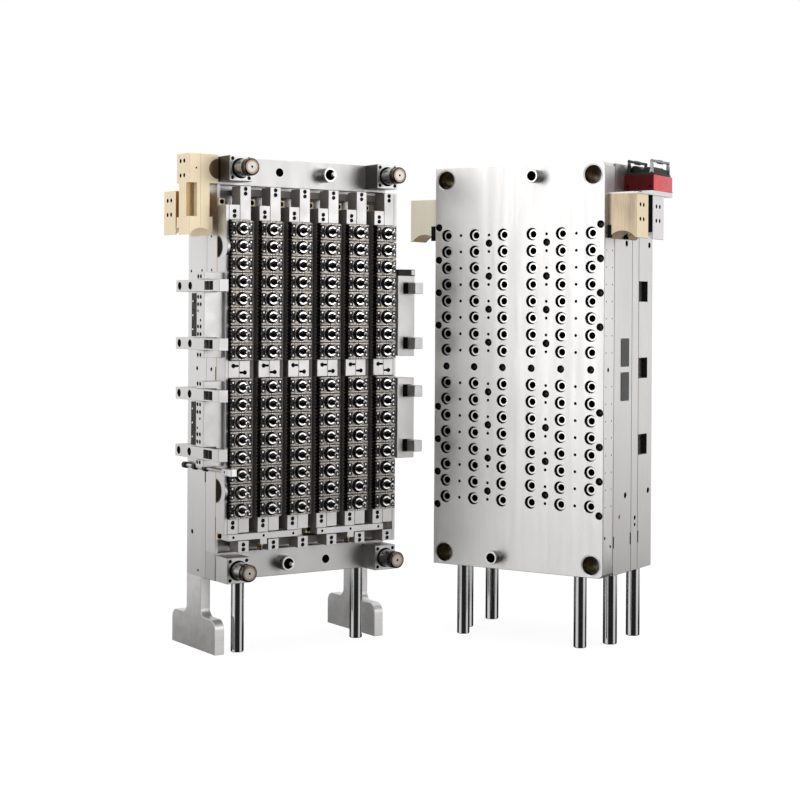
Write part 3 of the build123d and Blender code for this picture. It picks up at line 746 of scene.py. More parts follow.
class MOULD_OT_studio(MouldOperator, bpy.types.Operator):
    """Set up the floor, the lights, the world and the camera"""

    bl_idname = "mould.studio"
    bl_label = "Studio"

    def build(self, size):
        self.floor()
        self.lamps()
        self.world()
        self.camera()
        bpy.context.scene.view_settings.view_transform = "Standard"

    def floor(self):
        bm = bmesh.new()
        bmesh.ops.create_grid(bm, x_segments=8, y_segments=8, size=30.0)
        mesh = bpy.data.meshes.new("floor")
        bm.to_mesh(mesh)
        bm.free()
        floor = bpy.data.objects.new("floor", mesh)
        bpy.context.scene.collection.objects.link(floor)
        finish = Finish("floor_paper")
        tone = (*bpy.context.scene.mould_tones.floor, 1)
        cloud = finish.grain(0.0, (600, 600, 600), 2.0)
        base = finish.blend(cloud, shade(tone, 0.98), shade(tone, 1.01))
        paper = finish.node("ShaderNodeBsdfDiffuse", None, {"Color": base})
        camera, glossy, through = finish.outputs(finish.node("ShaderNodeLightPath"), *RAYS)
        mirror = finish.math("MAXIMUM", glossy, through)
        # For mirrors the floor glows with the room's softboxes and pale rear, and less near the mould:
        # painted reflection, with painted shade near the mould
        way = finish.node("ShaderNodeNewGeometry", output="Incoming")
        parts = finish.node("ShaderNodeSeparateXYZ", None, {"Vector": way})
        x, y = finish.outputs(parts, "X", "Y")
        spot = finish.node("ShaderNodeNewGeometry", output="Position")
        away = finish.node("ShaderNodeVectorMath", {"operation": "LENGTH"}, {0: spot}, "Value")
        far = finish.steps(away, 0.9, 1.9)
        boxes = softboxes(finish, x * -1.0, y * -1.0, far * 0.98)
        level = camera * 1.08 + mirror * boxes * (0.46 + 0.06 * far + 0.48 * finish.steps(away, 2.4, 12.0))
        glow = finish.node("ShaderNodeEmission", None, {"Color": WHITE, "Strength": level})
        mixed = finish.node("ShaderNodeMixShader", None, {0: camera * 0.85 + mirror, 1: paper, 2: glow})
        finish.end("ShaderNodeOutputMaterial", mixed)
        mesh.materials.append(finish.material)

    def lamps(self):
        spots = (
            ("left_softbox", (-3.4, -2.1, 1.5), (0.25, 0.0, 0.8), (1.6, 1.9), 11.5),
            ("right_softbox", (3.4, -1.9, 1.5), (-0.3, -0.1, 0.8), (1.6, 1.9), 11.5),
            ("front_softbox", (0.2, -4.4, 2.5), (0.0, 0.0, 0.9), (2.0, 1.2), 12.0),
            ("top_softbox", (0.0, -0.4, 3.6), (0.0, 0.0, 0.8), (2.4, 2.0), 19.0),
        )
        for name, place, target, size, power in spots:
            data = bpy.data.lights.new(name, "AREA")
            data.shape = "RECTANGLE"
            data.size, data.size_y = size
            data.energy = power
            lamp = bpy.data.objects.new(name, data)
            lamp.location = place
            lamp.rotation_euler = (Vector(target) - Vector(place)).to_track_quat("-Z", "Y").to_euler()
            bpy.context.scene.collection.objects.link(lamp)

    def world(self):
        world = bpy.data.worlds.new("studio")
        bpy.context.scene.world = world
        world.use_nodes = True
        room = Finish("studio", world.node_tree)
        camera, glossy, through = room.outputs(room.node("ShaderNodeLightPath"), *RAYS)
        way = room.node("ShaderNodeTexCoord", output="Generated")
        parts = room.node("ShaderNodeSeparateXYZ", None, {"Vector": way})
        x, y, height = room.outputs(parts, "X", "Y", "Z")
        boxes = softboxes(room, x, y, 1.12) * (1.0 - 0.45 * room.steps(height, 0.0, 0.18))
        boxes = boxes + 0.45 * room.steps(height, 0.3, 0.9)
        mirror = room.math("MAXIMUM", glossy, through)
        level = mirror * boxes + camera + (1.0 - mirror) * (1.0 - camera) * 0.78
        light = room.node("ShaderNodeBackground", None, {"Color": WHITE, "Strength": level})
        room.end("ShaderNodeOutputWorld", light)

    def camera(self):
        data = bpy.data.cameras.new("camera")
        data.sensor_width = SENSOR_WIDTH
        data.lens = FOCAL_LENGTH * SENSOR_WIDTH / PHOTO_WIDTH
        data.shift_y = (LEVEL_ROW - MIDDLE_ROW) / PHOTO_WIDTH
        camera = bpy.data.objects.new("camera", data)
        camera.location = cavity_half.matrix.translation + Vector(CAMERA_PLACE)
        camera.rotation_euler = (math.radians(90.0), math.radians(CAMERA_LEAN), 0.0)
        bpy.context.scene.collection.objects.link(camera)
        bpy.context.scene.camera = camera


# ---------------------------------------------------------------- cavity half


class MOULD_OT_cavity_plate(MouldOperator, bpy.types.Operator):
    """Model the cavity plate with its seats, bores, screws and corner cuts"""

    bl_idname = "mould.cavity_plate"
    bl_label = "Cavity plate"

    def build(self, size):
        mouth, floor, bore = size["seat_mouth"], size["seat_floor"], size["bore"]
        # The seats' taper walls and bores are painted near black: painted shade
        seat_steps = (
            (mouth, 0.0, "nose"), (mouth - 0.7, -0.5, "nose"), (floor, -9.5, "taper"),
            (bore + 0.6, -9.5, "nose"), (bore, -10.3, "nose"), (bore, -48.0, "well"),
            (bore * 0.42, -52.0, "well"),
        )
        pin_steps = ((4.7, 0.0, "hole"), (3.2, -1.4, "screw"), (3.2, -9.0, "hole"))
        guide_steps = ((31.4, 0.0, "nose"), (29.9, -1.5, "nose"), (29.9, -66.0, "nose"))
        holes = [Hole("front", (x, 0, z), seat_steps, 32) for x in COLUMNS for z in ROWS]
        holes += [Hole("front", (x, 0, z), pin_steps, 12) for x in (-196, -98, 98, 196) for z in ROWS]
        holes += [Hole("front", (x, 0, z), guide_steps, 48) for x, z in GUIDES]
        screws = [(x, 0, s * z) for x in (-98, 98) for z in (75, 175, 275, 375) for s in (-1, 1)]
        screws += [(x, 0, 0) for x in COLUMNS]
        screws += [(x, 0, s * z) for x in (-274.4, 274.4) for z in (125, 225, 325, 425) for s in (-1, 1)]
        radius = size["plate_screw"]
        heads = bored(holes, "front", screws, radius, 9.0, 24)
        flank = [Hole("right", (0, d, z), plain(2.3, 8.0), 10) for d in (14, 54) for z in ROWS]
        flank.append(Hole("right", (0, 29, 0), plain(6.5, 14.0), 16))
        flank += [Hole("right", (0, d, z), plain(5.0, 14.0), 14) for d, z in ((13, -490), (50, -518))]
        w, h, cut = HALF_WIDTH, HALF_HEIGHT, 10.0
        outline = [(-w, -h), (w - cut, -h), (w, -h + cut), (w, h - cut), (w - cut, h), (-w, h)]
        shape = Shape()
        cuts = [((1, 0, 0), u) for u in (-211, -181, -118.7, -77.3, 0, 77.3, 118.7, 181, 211)]
        cuts += [((0, 0, 1), z) for z in (-22, 22)]
        # The front takes a lighter copy of the plate steel: painted light
        shape.prism("front", outline, 0.0, 68.0, "face", size["edge"], holes + flank, cuts=cuts)
        shape.stamp(cap_screw(radius - 1.3, 3.5, 16), "front", heads)
        shape.finish("cavity_plate_face", cavity_half, "standing_halves", "cavity_plate")


class MOULD_OT_cavity_guides(MouldOperator, bpy.types.Operator):
    """Model the guide bushings and the locating tubes of the cavity plate"""

    bl_idname = "mould.cavity_guides"
    bl_label = "Bushings and tubes"

    def build(self, size):
        shape = Shape()
        steps = (
            (29.6, -66.0, "bush"), (29.6, -1.0, "nose"), (29.2, -0.6, "nose"), (28.0, -0.6, "nose"),
            (25.3, -7.0, "bush"), (25.3, -20.0, "bush"), (25.9, -20.4, "hole"), (25.9, -22.4, "hole"),
            (25.3, -22.8, "bush"), (25.3, -44.0, "bush"), (25.9, -44.4, "hole"), (25.9, -46.4, "hole"),
            (25.3, -46.8, "bush"), (25.3, -66.0, "bush"),
        )
        for x, z in GUIDES:
            part = bmesh.new()
            first, last = rings(part, seat("front", (x, 0, z)), steps, 48)
            bmesh.ops.bridge_loops(part, edges=first + last)
            shape.take(part)
            shape.rod("front", (x, 67, z), ((25.0, -1.0, "well"), (25.0, 0.0, "well")), 32)
        shape.finish("guide_bushing_rings", cavity_half, "standing_halves", "guide_bushings")
        shape = Shape()
        steps = (
            (20.0, -20.0, "pin"), (20.0, 22.5, "pin"), (19.2, 23.2, "screw"), (19.2, 25.5, "screw"),
            (20.0, 26.2, "pin"), (20.0, 35.6, "pin"), (18.8, 36.8, "nose"), (15.0, 36.8, "nose"),
            (14.2, 36.0, "nose"), (14.2, 6.0, "well"), (12.0, 6.0, "screw"), (12.0, 9.0, "screw"),
            (3.0, 9.0, "screw"), (3.0, 4.0, "well"),
        )
        for place in ((65.0, 0.0, 570.5), (-65.0, 0.0, -570.5)):
            shape.rod("front", place, steps, 40)
        shape.finish("locating_tube_turnings", cavity_half, "standing_halves", "locating_tubes")


class MOULD_OT_cavity_backing(MouldOperator, bpy.types.Operator):
    """Model the manifold, distributor and clamp plates with their ports, slots and label plates"""

    bl_idname = "mould.cavity_backing"
    bl_label = "Backing plates"

    def build(self, size):
        self.edge = size["edge"]
        self.manifold()
        self.distributor()
        self.clamp()

    def lines(self, shape, *depths):
        """Dark lines down both flanks where two plates meet."""
        above = (-HALF_HEIGHT + 1, HALF_HEIGHT - 1)
        for depth in depths:
            for s in (-1, 1):
                across = span(s, HALF_WIDTH - 2, HALF_WIDTH + LINE_RISE)
                shape.block(across, (depth - 0.8, depth + 0.8), above, "hole", 0.0)

    def pry_slot(self, shape, near, far):
        """A black mark standing proud on the right flank: painted shade of the slot where the plates are
        pried apart.
        """
        shape.block((HALF_WIDTH - 6, HALF_WIDTH + MARK_RISE), (near, far), (-527, -491), "hole", 0.4)

    def manifold(self):
        w, h = HALF_WIDTH, HALF_HEIGHT
        shape = Shape()
        wide_port = port(9.5, 16.0, 0.8)
        holes = [Hole(s, (0, 152, z), wide_port, 24) for s in ("right", "left") for z in (374.0, -377.0)]
        plug = ((7.0, 0, "nose"), (6.2, -0.8, "nose"), (6.2, -1.6, "brass"))
        holes.append(Hole("right", (0, 110.6, -438.6), plug, 20))
        shape.block((-w, w), (68.3, 192.7), (-h, h), "flank", self.edge, holes)
        for d in (72.0, 189.0):
            self.pry_slot(shape, d - 3.6, d + 3.6)
        rivet = ((1.4, -0.5, "nose"), (1.2, 0.5, "nose"), (0.5, 0.8, "nose"))
        for low, high in ((6.8, 91.2), (-95.0, -9.6)):
            shape.block((w - 0.5, w + 0.9), (115.0, 172.5), (low, high), "label", 0.4)
            shape.block((w + 0.2, w + 1.2), (119.0, 168.5), (low + 5, high - 5), "label", 0.2)
            for d in (117.2, 170.3):
                for z in (low + 2.6, high - 2.6):
                    shape.rod("right", (w + 0.9, d, z), rivet, 8)
        self.lines(shape, 68.2, 193.0)
        shape.finish("manifold_plate_body", cavity_half, "standing_halves", "manifold_plate")

    def distributor(self):
        w, h = HALF_WIDTH, HALF_HEIGHT
        shape = Shape()
        ports = ((-450.4, 7.5), (-471.5, 6.3))
        holes = [Hole("right", (0, 221, z), port(radius, 16.0, 0.8), 20) for z, radius in ports]
        shape.block((-w, w), (193.3, 239.7), (-h, h), "flank", self.edge, holes)
        self.lines(shape, 240.0)
        shape.finish("distributor_plate_body", cavity_half, "standing_halves", "distributor_plate")

    def clamp(self):
        w, h, floor, joint = HALF_WIDTH, HALF_HEIGHT, HALF_WIDTH - 19.2, 305.0
        slots = [(middle - 30.5, middle + 30.5) for middle in (-232.0, 0.0, 232.0)]
        flank = [(w, -h)]
        for low, high in slots:
            flank += [(w, low), (floor, low), (floor, high), (w, high)]
        flank.append((w, h))
        outline = flank + [(-u, z) for u, z in reversed(flank)]
        holes = [Hole("right", (0, 316, z), port(9.5, 16.0, 0.8), 24) for z in (374.0, -376.0)]
        shape = Shape()
        shape.prism("front", outline, 240.3, joint, "flank", self.edge, seam=joint)
        shape.block((-w, w), (joint, 340.5), (-h, h), "flank", self.edge, holes, seam=joint)
        # Black sheets on the slots' rear walls: painted shade in the slots
        for above in slots:
            for s in (-1, 1):
                shape.block(span(s, w - 19.1, w - 0.8), (joint - 0.6, joint + 0.2), above, "hole", 0.0)
        self.pry_slot(shape, 240.0, 247.0)
        shape.finish("clamp_plate_body", cavity_half, "standing_halves", "clamp_plate")


class MOULD_OT_cavity_water(MouldOperator, bpy.types.Operator):
    """Model the water blocks on the flanks of the cavity half"""

    bl_idname = "mould.cavity_water"
    bl_label = "Cavity water blocks"

    def build(self, size):
        w = HALF_WIDTH
        blocks = (
            ("right_gold_block", "gold", 1, 20.0, 100.0, 380.0, (44.0, 67.0)),
            ("right_silver_block", "silver", 1, 132.0, 211.0, 380.0, (157.0, 181.0)),
            # The left block takes a lighter, non-metallic copy of the gold: painted light
            ("left_gold_block", "gold_pale", -1, 20.0, 100.0, 390.0, (44.0, 67.0)),
        )
        for name, finish, way, near, far, reach, ports in blocks:
            low, high = span(way, w, reach)
            side = "right" if way > 0 else "left"
            holes = [Hole(side, (0, d, z), WATER_PORT, 20) for d in ports for z in (482.0, 440.0)]
            shape = Shape()
            shape.prism("front", arched(low, high, 385.0, 514.0), near, far, finish, 1.0, holes)
            # The right block's front takes a darker, streaky copy of the gold: painted shade
            if name == "right_gold_block":
                face = arched(low + 1.0, high - 1.0, 386.2, 512.8)
                shape.prism("front", face, near - 0.3, near + 0.5, "gold_cut", 0.0)
            # A black block in the corner where the block meets the plate: painted shade
            corner, top = (12, 424.0) if way > 0 else (27, 431.0)
            shape.block(span(way, w, w + corner), (near - 0.6, near + 6), (386.0, top), "hole", 0.0)
            # A black panel on the silver block's front, seen through the gap between the blocks: painted
            # shade
            if name == "right_silver_block":
                shape.block((w, w + 91.5), (near - 0.4, near + 0.5), (405.0, 513.5), "hole", 0.0)
            # The arches' undersides take a darker copy of the gold: painted shade
            shape.bm.normal_update()
            low_faces = [f for f in shape.bm.faces if f.calc_center_median().z < 410.0]
            paint([f for f in low_faces if f.normal.z < -0.3], "gold_dark")
            shape.finish(f"{name}_machined", cavity_half, "standing_halves", name)


class MOULD_OT_connector(MouldOperator, bpy.types.Operator):
    """Model the electrical connector: base plate, housing, insert and latches"""

    bl_idname = "mould.connector"
    bl_label = "Connector"

    REACH = 384.0
    PIVOT_LEVEL, HANDLE_LEVEL = 583.0, 617.0
    LATCH_PLACES = (HALF_WIDTH + 12.0, REACH - 12.0)
    LATCH_ARMS = (139.6, 258.4)

    def build(self, size):
        self.base()
        self.housing()
        self.insert()
        self.posts()
        for x, name, finish in zip(self.LATCH_PLACES, ("inner_latch", "outer_latch"), ("latch", "bail")):
            self.latch(x, name, finish)

    def base(self):
        w, reach = HALF_WIDTH, self.REACH
        shape = Shape()
        shape.block((w, reach), (20.0, 128.0), (514.0, 518.0), "silver", 0.6)
        shape.block((w, reach), (127.0, 266.0), (514.0, 528.0), "silver", 0.8)
        shape.block((w + 34.0, w + 58.0), (126.4, 128.0), (518.0, 527.5), "hole", 0.0)
        shape.finish("socket_base_slab", cavity_half, "standing_halves", "socket_base")

    def housing(self):
        w, reach = HALF_WIDTH, self.REACH
        shape = Shape()
        shape.prism("top", self.rounded(w + 1, reach - 1, 129.5, 268.0, 3.0), 528.0, 574.5, "red", 0.8)
        shape.block((w, reach), (136.0, 266.5), (528.0, 533.0), "red", 1.0)
        # The front faces take a darker red: painted shade
        shape.bm.normal_update()
        paint([f for f in shape.bm.faces if f.normal.y < -0.6], "red_dark")
        screw = ((3.6, -3.0, "screw"), (3.6, 2.0, "screw"), (2.6, 2.6, "screw"))
        for x in self.LATCH_PLACES:
            for side, d in (("front", 129.6), ("back", 267.9)):
                shape.rod(side, (x, d, 541.0), screw, 12)
        shape.finish("socket_housing_shell", cavity_half, "standing_halves", "socket_housing")

    def insert(self):
        """The black insert, with two humps that stay under the latches' handles as these turn."""
        w, reach, foot, flatness = HALF_WIDTH, self.REACH, 580.0, 0.68
        shape = Shape()
        shape.prism("top", self.rounded(w + 4, reach - 4, 132.0, 264.0, 5.0), 574.0, 581.0, "plastic", 0.8)
        for low, high, top in ((w + 8, w + 46, 606.0), (w + 48, reach - 8, 601.0)):
            middle, radius = (low + high) / 2, (high - low) / 2
            hump = [(high, foot)] + arc((middle, top - radius * 0.62), radius, 0, 180, 12) + [(low, foot)]
            hump = [(x, foot + (z - foot) * flatness) for x, z in hump]
            shape.prism("front", hump, 150.0, 248.0, "plastic", 0.8)
            for d in (165.0, 199.0, 233.0):
                shape.block((low + 3, high - 3), (d - 2, d + 2), (foot, top - 7.5), "plastic", 0.6)
        shape.block((w + 18, w + 28), (152.0, 246.0), (594.0, 604.4), "plastic", 1.2, segments=2)
        shape.block((w + 56, reach - 18), (160.0, 238.0), (588.0, 600.2), "latch", 1.2, segments=2)
        shape.finish("socket_insert_covers", cavity_half, "standing_halves", "socket_insert")

    def rounded(self, low, high, near, far, radius):
        corners = (
            ((high - radius, far - radius), 0), ((low + radius, far - radius), 90),
            ((low + radius, near + radius), 180), ((high - radius, near + radius), 270),
        )
        return [point for middle, start in corners for point in arc(middle, radius, start, start + 90, 5)]

    def posts(self):
        level, foot = self.PIVOT_LEVEL, 574.0
        pin = ((3.0, 0.0, "latch"), (3.0, 9.2, "latch"), (2.4, 9.8, "latch"))
        shape = Shape()
        for x in self.LATCH_PLACES:
            ears = arc((x, level), 6.0, 0, 180, 8) + [(x - 6.0, foot), (x + 6.0, foot)]
            for d, side in ((146.0, "front"), (252.0, "back")):
                shape.prism("front", ears, d - 3.0, d + 3.0, "latch", 0.5)
                shape.rod(side, (x, d, level), pin, 16)
        shape.finish("latch_pivot_posts", cavity_half, "standing_halves", "latch_pivots")

    def latch(self, x, name, finish):
        level, top = self.HANDLE_LEVEL, self.HANDLE_LEVEL - 5.0
        arm = arc((x, self.PIVOT_LEVEL), 5.9, 180, 360, 8) + [(x + 4.0, top)]
        arm += arc((x, level), 4.6, 0, 180, 6) + [(x - 4.0, top)]
        shape = Shape()
        for d in self.LATCH_ARMS:
            shape.prism("front", arm, d - 2.9, d + 2.9, finish, 0.5)
        near, far = self.LATCH_ARMS
        shape.rod("front", (x, 0.0, level), ((4.0, -far, finish), (4.0, -near, finish)), 20)
        shape.block((x - 2.2, x + 2.2), (180.0, 218.0), (610.5, 622.0), "plastic", 0.8)
        shape.finish(f"{name}_bail", cavity_half, name, name)


# ---------------------------------------------------------------- posts and feet


class MOULD_OT_supports(MouldOperator, bpy.types.Operator):
    """Model the posts under both halves and the feet of the core half"""

    bl_idname = "mould.supports"
    bl_label = "Posts and feet"

    def build(self, size):
        self.posts("front_posts", cavity_half, "standing_halves", 19.0, ((-199, 34), (199, 34)))
        places = [(x, d) for x in (-247, 247) for d in (137, 299)]
        self.posts("rear_posts", cavity_half, "standing_halves", 21.0, places)
        self.posts("stripper_posts", core_half, "stripper", 19.0, ((-203, 104), (203, 104)))
        self.feet()

    def posts(self, name, half, body, radius, places):
        levels = (FLOOR + 2.0, FLOOR + 70.0, FLOOR + 140.0, -HALF_HEIGHT)
        steps = [(radius - 2.0, FLOOR, "chrome")] + [(radius, level, "chrome") for level in levels]
        shape = Shape()
        for x, d in places:
            shape.rod("top", (x, d, 0.0), steps, 64)
        shape.finish(f"{name}_turned", half, body, name)

    def feet(self):
        front, rear, top, shoulder, throat = 83.0, 356.0, FLOOR + 98.0, 28.0, 24.0
        neck_front, neck_rear = 171.0, CORE_PLATE_DEPTH[1]
        outline = [(front, FLOOR), (rear, FLOOR)]
        outline += arc((rear - shoulder, top - shoulder), shoulder, 0, 90, 10)
        outline += arc((neck_rear + throat, top + throat), throat, 270, 180, 10)
        outline += [(neck_rear, -HALF_HEIGHT), (neck_front, -HALF_HEIGHT)]
        outline += arc((neck_front - throat, top + throat), throat, 0, -90, 10)
        outline += arc((front + shoulder, top - shoulder), shoulder, 90, 180, 10)
        shape = Shape()
        # The feet take a lighter copy of the plate steel: painted light
        for s in (-1, 1):
            shape.prism("left", outline, *span(s, HALF_WIDTH - 31.0, HALF_WIDTH), "foot", 1.2)
        shape.finish("feet_plates", core_half, "standing_halves", "feet")


# ---------------------------------------------------------------- core half


class MOULD_OT_core_plates(MouldOperator, bpy.types.Operator):
    """Model the core plate and the stripper plate, and finish the wear plate"""

    bl_idname = "mould.core_plates"
    bl_label = "Core half plates"

    def build(self, size):
        self.core_plate(size["edge"])
        self.stripper_plate(size["edge"], size["core"] + 1.0)
        self.coat("wear_plate", "wear")
        # The rails and link bars in the gaps take the dark rail paint: painted shade
        for node in ("slide_rails", "left_link_bars", "right_link_bars"):
            self.coat(node, "rail")

    def ports(self, side, sides, places):
        return [Hole(side, (0, d, z), port(radius, 14.0, 0.5), sides) for d, z, radius in places]

    def core_plate(self, edge):
        w, h = HALF_WIDTH, HALF_HEIGHT
        left = (
            (244, 282, 4.6), (176, 283, 4.6), (203, -2, 6.5),
            (228, -481, 7.5), (205, 540, 6.0), (190, -590, 5.0),
        )
        right = ((244, 282, 4.6), (203, 0, 6.5), (228, -481, 7.5))
        holes = self.ports("left", 18, left) + self.ports("right", 18, right)
        shape = Shape()
        shape.block((-w, w), CORE_PLATE_DEPTH, (-h, h), "flank", edge, holes)
        shape.block((-w - MARK_RISE, -w + 6), (144.0, 150.0), (-330, -300), "hole", 0.4)
        shape.finish("core_plate_body", core_half, "standing_halves", "core_plate")

    def stripper_plate(self, edge, bore):
        """A solid head and foot, and between them the rails' bed with a bore for each core."""
        w, h, depth = HALF_WIDTH, HALF_HEIGHT, STRIPPER_DEPTH
        plunger = ((12.6, 0, "nose"), (11.6, -0.8, "hole"), (11.6, -40, "hole"))
        shape = Shape()
        # The head and foot take a darker copy of the plate steel: painted shade
        for x, z, above in ((-83, 571.5, (527.0, h)), (83, -571.5, (-h, -527.0))):
            hole = Hole("front", (x, 0, z), plunger, 28)
            shape.block((-w, w), depth, above, "ground", edge, [hole])
        holes = self.ports("left", 16, ((115.5, 283, 4.6), (113.7, -2, 6.0), (118, 380, 4.0)))
        steps = plain(bore, depth[1] - depth[0])
        for x in COLUMNS:
            for z in ROWS:
                holes.append(Hole("front", (x, 0, z), steps, 24, through=True))
                holes.append(Hole("back", (x, 0, z), steps[:1], 24, through=True))
        shape.block((-w, w), depth, (-427.5, 427.5), "flank", 0.6, holes)
        # The bores reach the rear face, and here their rims become one with its holes
        bmesh.ops.remove_doubles(shape.bm, verts=shape.bm.verts[:], dist=1e-3)
        for low, high in ((426.5, 528.0), (-528.0, -426.5)):
            shape.block((-w + 3, w - 3), (110.0, 143.0), (low, high), "pale", 0.0)
            for s in (-1, 1):
                shape.block(span(s, 278.0, w), depth, (low, high), "pale", 0.6)
        shape.block((-w - MARK_RISE, -w + 6), (84.3, 89.0), (-32.0, 6.0), "hole", 0.3)
        shape.finish("stripper_plate_body", core_half, "stripper", "stripper_plate")

    def coat(self, node, finish):
        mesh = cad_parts[node].data
        mesh.materials.clear()
        mesh.materials.append(finish_for(finish, core_half))


class MOULD_OT_slide_bars(MouldOperator, bpy.types.Operator):
    """Model the slide bars, the pads behind their ends and the tie bars below"""

    bl_idname = "mould.slide_bars"
    bl_label = "Slide bars"

    def build(self, size):
        self.radius = size["bar_screw"]
        self.head = cap_screw(self.radius - 0.9, 2.5, 12)
        for way, name, reach, screws in ((-1, "left", 468.0, 442.5), (1, "right", 522.0, 507.0)):
            shape = Shape()
            for x in COLUMNS:
                self.bar(shape, way, x, reach, screws)
            shape.block(span(way, 280.2, 289.9), (24.9, 75.6), (-reach, reach), "pale", 0.8)
            if way < 0:
                self.lugs(shape)
                self.probe(shape)
            shape.finish(f"{name}_slide_bar_faces", core_half, f"{name}_slides", f"{name}_slide_bars")
        self.pads()
        self.ties()

    def bar(self, shape, way, x, reach, screws):
        """Half a column's bar: an end above and below, the middle pad, and the web behind the rings."""
        across = sorted((x + way * 0.2, x + way * 34.95))
        front, back = BAR_DEPTH
        for s in (-1, 1):
            low, high = span(s, BANK_HIGH, reach)
            holes = []
            spots = [(x + way * 17.5, front, s * screws + t) for t in (-6.8, 6.8)]
            heads = bored(holes, "front", spots, self.radius, 5.0, 16)
            # The bars' side faces take the dark rail paint: painted shade
            if way > 0 and s < 0:
                # Cut back where the tie bar crosses
                shape.block(across, BAR_DEPTH, (low, -488.9), "pale", 0.8, holes, flanks="rail")
                shape.block(across, BAR_DEPTH, (-466.1, high), "pale", 0.8, flanks="rail")
                shape.block(across, (61.2, back), (-490.0, -465.0), "pale", 0.0, flanks="rail")
            else:
                shape.block(across, BAR_DEPTH, (low, high), "pale", 0.8, holes, flanks="rail")
            shape.stamp(self.head, "front", heads)
        spot = -way * 9.5
        holes = [Hole("front", (x + way * 11.5, front, spot), plain(3.4, 7.0), 16, 7.5)]
        shape.block(across, BAR_DEPTH, (-BANK_LOW + 0.3, BANK_LOW - 0.3), "pale", 0.8, holes)
        steps = (
            (6.4, -1.0, "screw"), (6.4, 0.4, "screw"), (5.8, 0.8, "screw"), (3.0, 0.8, "screw"),
            (3.0, -1.0, "hole"),
        )
        shape.rod("front", (x + way * 18.5, front, spot), steps, 16)
        # The webs behind the rings take the dark rail paint: painted shade
        web = sorted((x + way * 9.3, x + way * 34.95))
        for s in (-1, 1):
            shape.block(web, (34.3, back), span(s, BANK_LOW - 1, BANK_HIGH + 1), "rail", 0.0)

    def lugs(self, shape):
        """The two D-shaped lugs on the left, with dark and black sheets in the middle: painted shade of their
        hollows.
        """
        back = 75.0
        for low, high, near in ((316.0, 382.0, 13.0), (-383.0, -312.0, 18.0)):
            middle, radius = (low + high) / 2, (high - low) / 2
            outline = [(back, low), *arc((near + radius, middle), radius, 270, 90, 16), (back, high)]
            shape.prism("left", outline, -290.4, -280.6, "flank", 0.8)
            # Dark and black sheets on the lug's side: painted shade of its hollow
            for inset, level, finish in ((1.0, -290.9, "shadow"), (4.0, -291.2, "hole")):
                hollow = arc((back, middle), radius - inset, 268, 92, 16)
                shape.prism("left", hollow, level, level + 0.8, finish, 0.0)

    def probe(self, shape):
        """The guided rod beside the left bars, with its clamping knobs and the stop block at its end."""
        x, z = -298.0, -287.0
        shape.rod("front", (x, 0.0, z), ((4.6, -262.0, "pale"), (4.6, 0.0, "pale")), 20)
        for depth in (253.0, 190.0, 124.0):
            knob = ((8.6, -9), (9.4, -8), (9.4, 8), (8.6, 9))
            steps = [(radius, rise - depth, "plastic") for radius, rise in knob]
            shape.rod("front", (x, 0.0, z), steps, 24)
        hole = Hole("left", (0, -8.0, z), plain(3.6, 8.0), 12)
        shape.block((-308.0, -290.5), (-34.0, 8.0), (z - 10, z + 10), "pale", 1.0, [hole])
        shape.block((-308.5, -290.2), (-50.0, -30.0), (z - 10.5, z + 10.5), "nose", 1.2)

    def pads(self):
        mouth = ((7.2, 0.0, "hole"), (6.8, -0.5, "hole"), (6.8, -12.0, "hole"))
        shape = Shape()
        for x in COLUMNS:
            for z in (-478.5, 478.5):
                hole = Hole("front", (x - 31.0, 77.0, z), mouth, 18)
                shape.block((x - 40.0, x - 20.0), (77.2, 110.0), (z - 10, z + 10), "gold", 0.8, [hole])
        shape.finish("rail_pad_blocks", core_half, "stripper", "rail_pads")

    def ties(self):
        """The two bars that tie the left bars together below, each with a pin under its lug."""
        roller = (
            (9.2, 0.0, "roller"), (9.2, -6.0, "roller"), (8.4, -6.6, "screw"), (8.4, -7.6, "screw"),
            (9.2, -8.2, "roller"), (9.2, -16.0, "roller"), (7.8, -17.5, "roller"),
        )
        top, bottom, lug, reach = -468.2, -487.0, -503.0, 115.5
        bars, pins = Shape(), Shape()
        for x in (-164.5, 129.5):
            holes = [Hole("front", (x + s * 98.0, 20, -477.5), plain(4.0, 8.0), 12) for s in (-1, 0, 1)]
            outline = [
                (x - reach, bottom), (x - 11.5, bottom), (x - 11.5, lug), (x + 11.5, lug), (x + 11.5, bottom),
                (x + reach, bottom), (x + reach, top), (x - reach, top),
            ]
            bars.prism("front", outline, 20.0, 60.0, "pale", 0.8, holes)
            pins.rod("top", (x, 40.0, lug), roller, 24)
        bars.finish("tie_bar_faces", core_half, "left_slides", "tie_bars")
        pins.finish("tie_pin_rollers", core_half, "left_slides", "tie_pins")


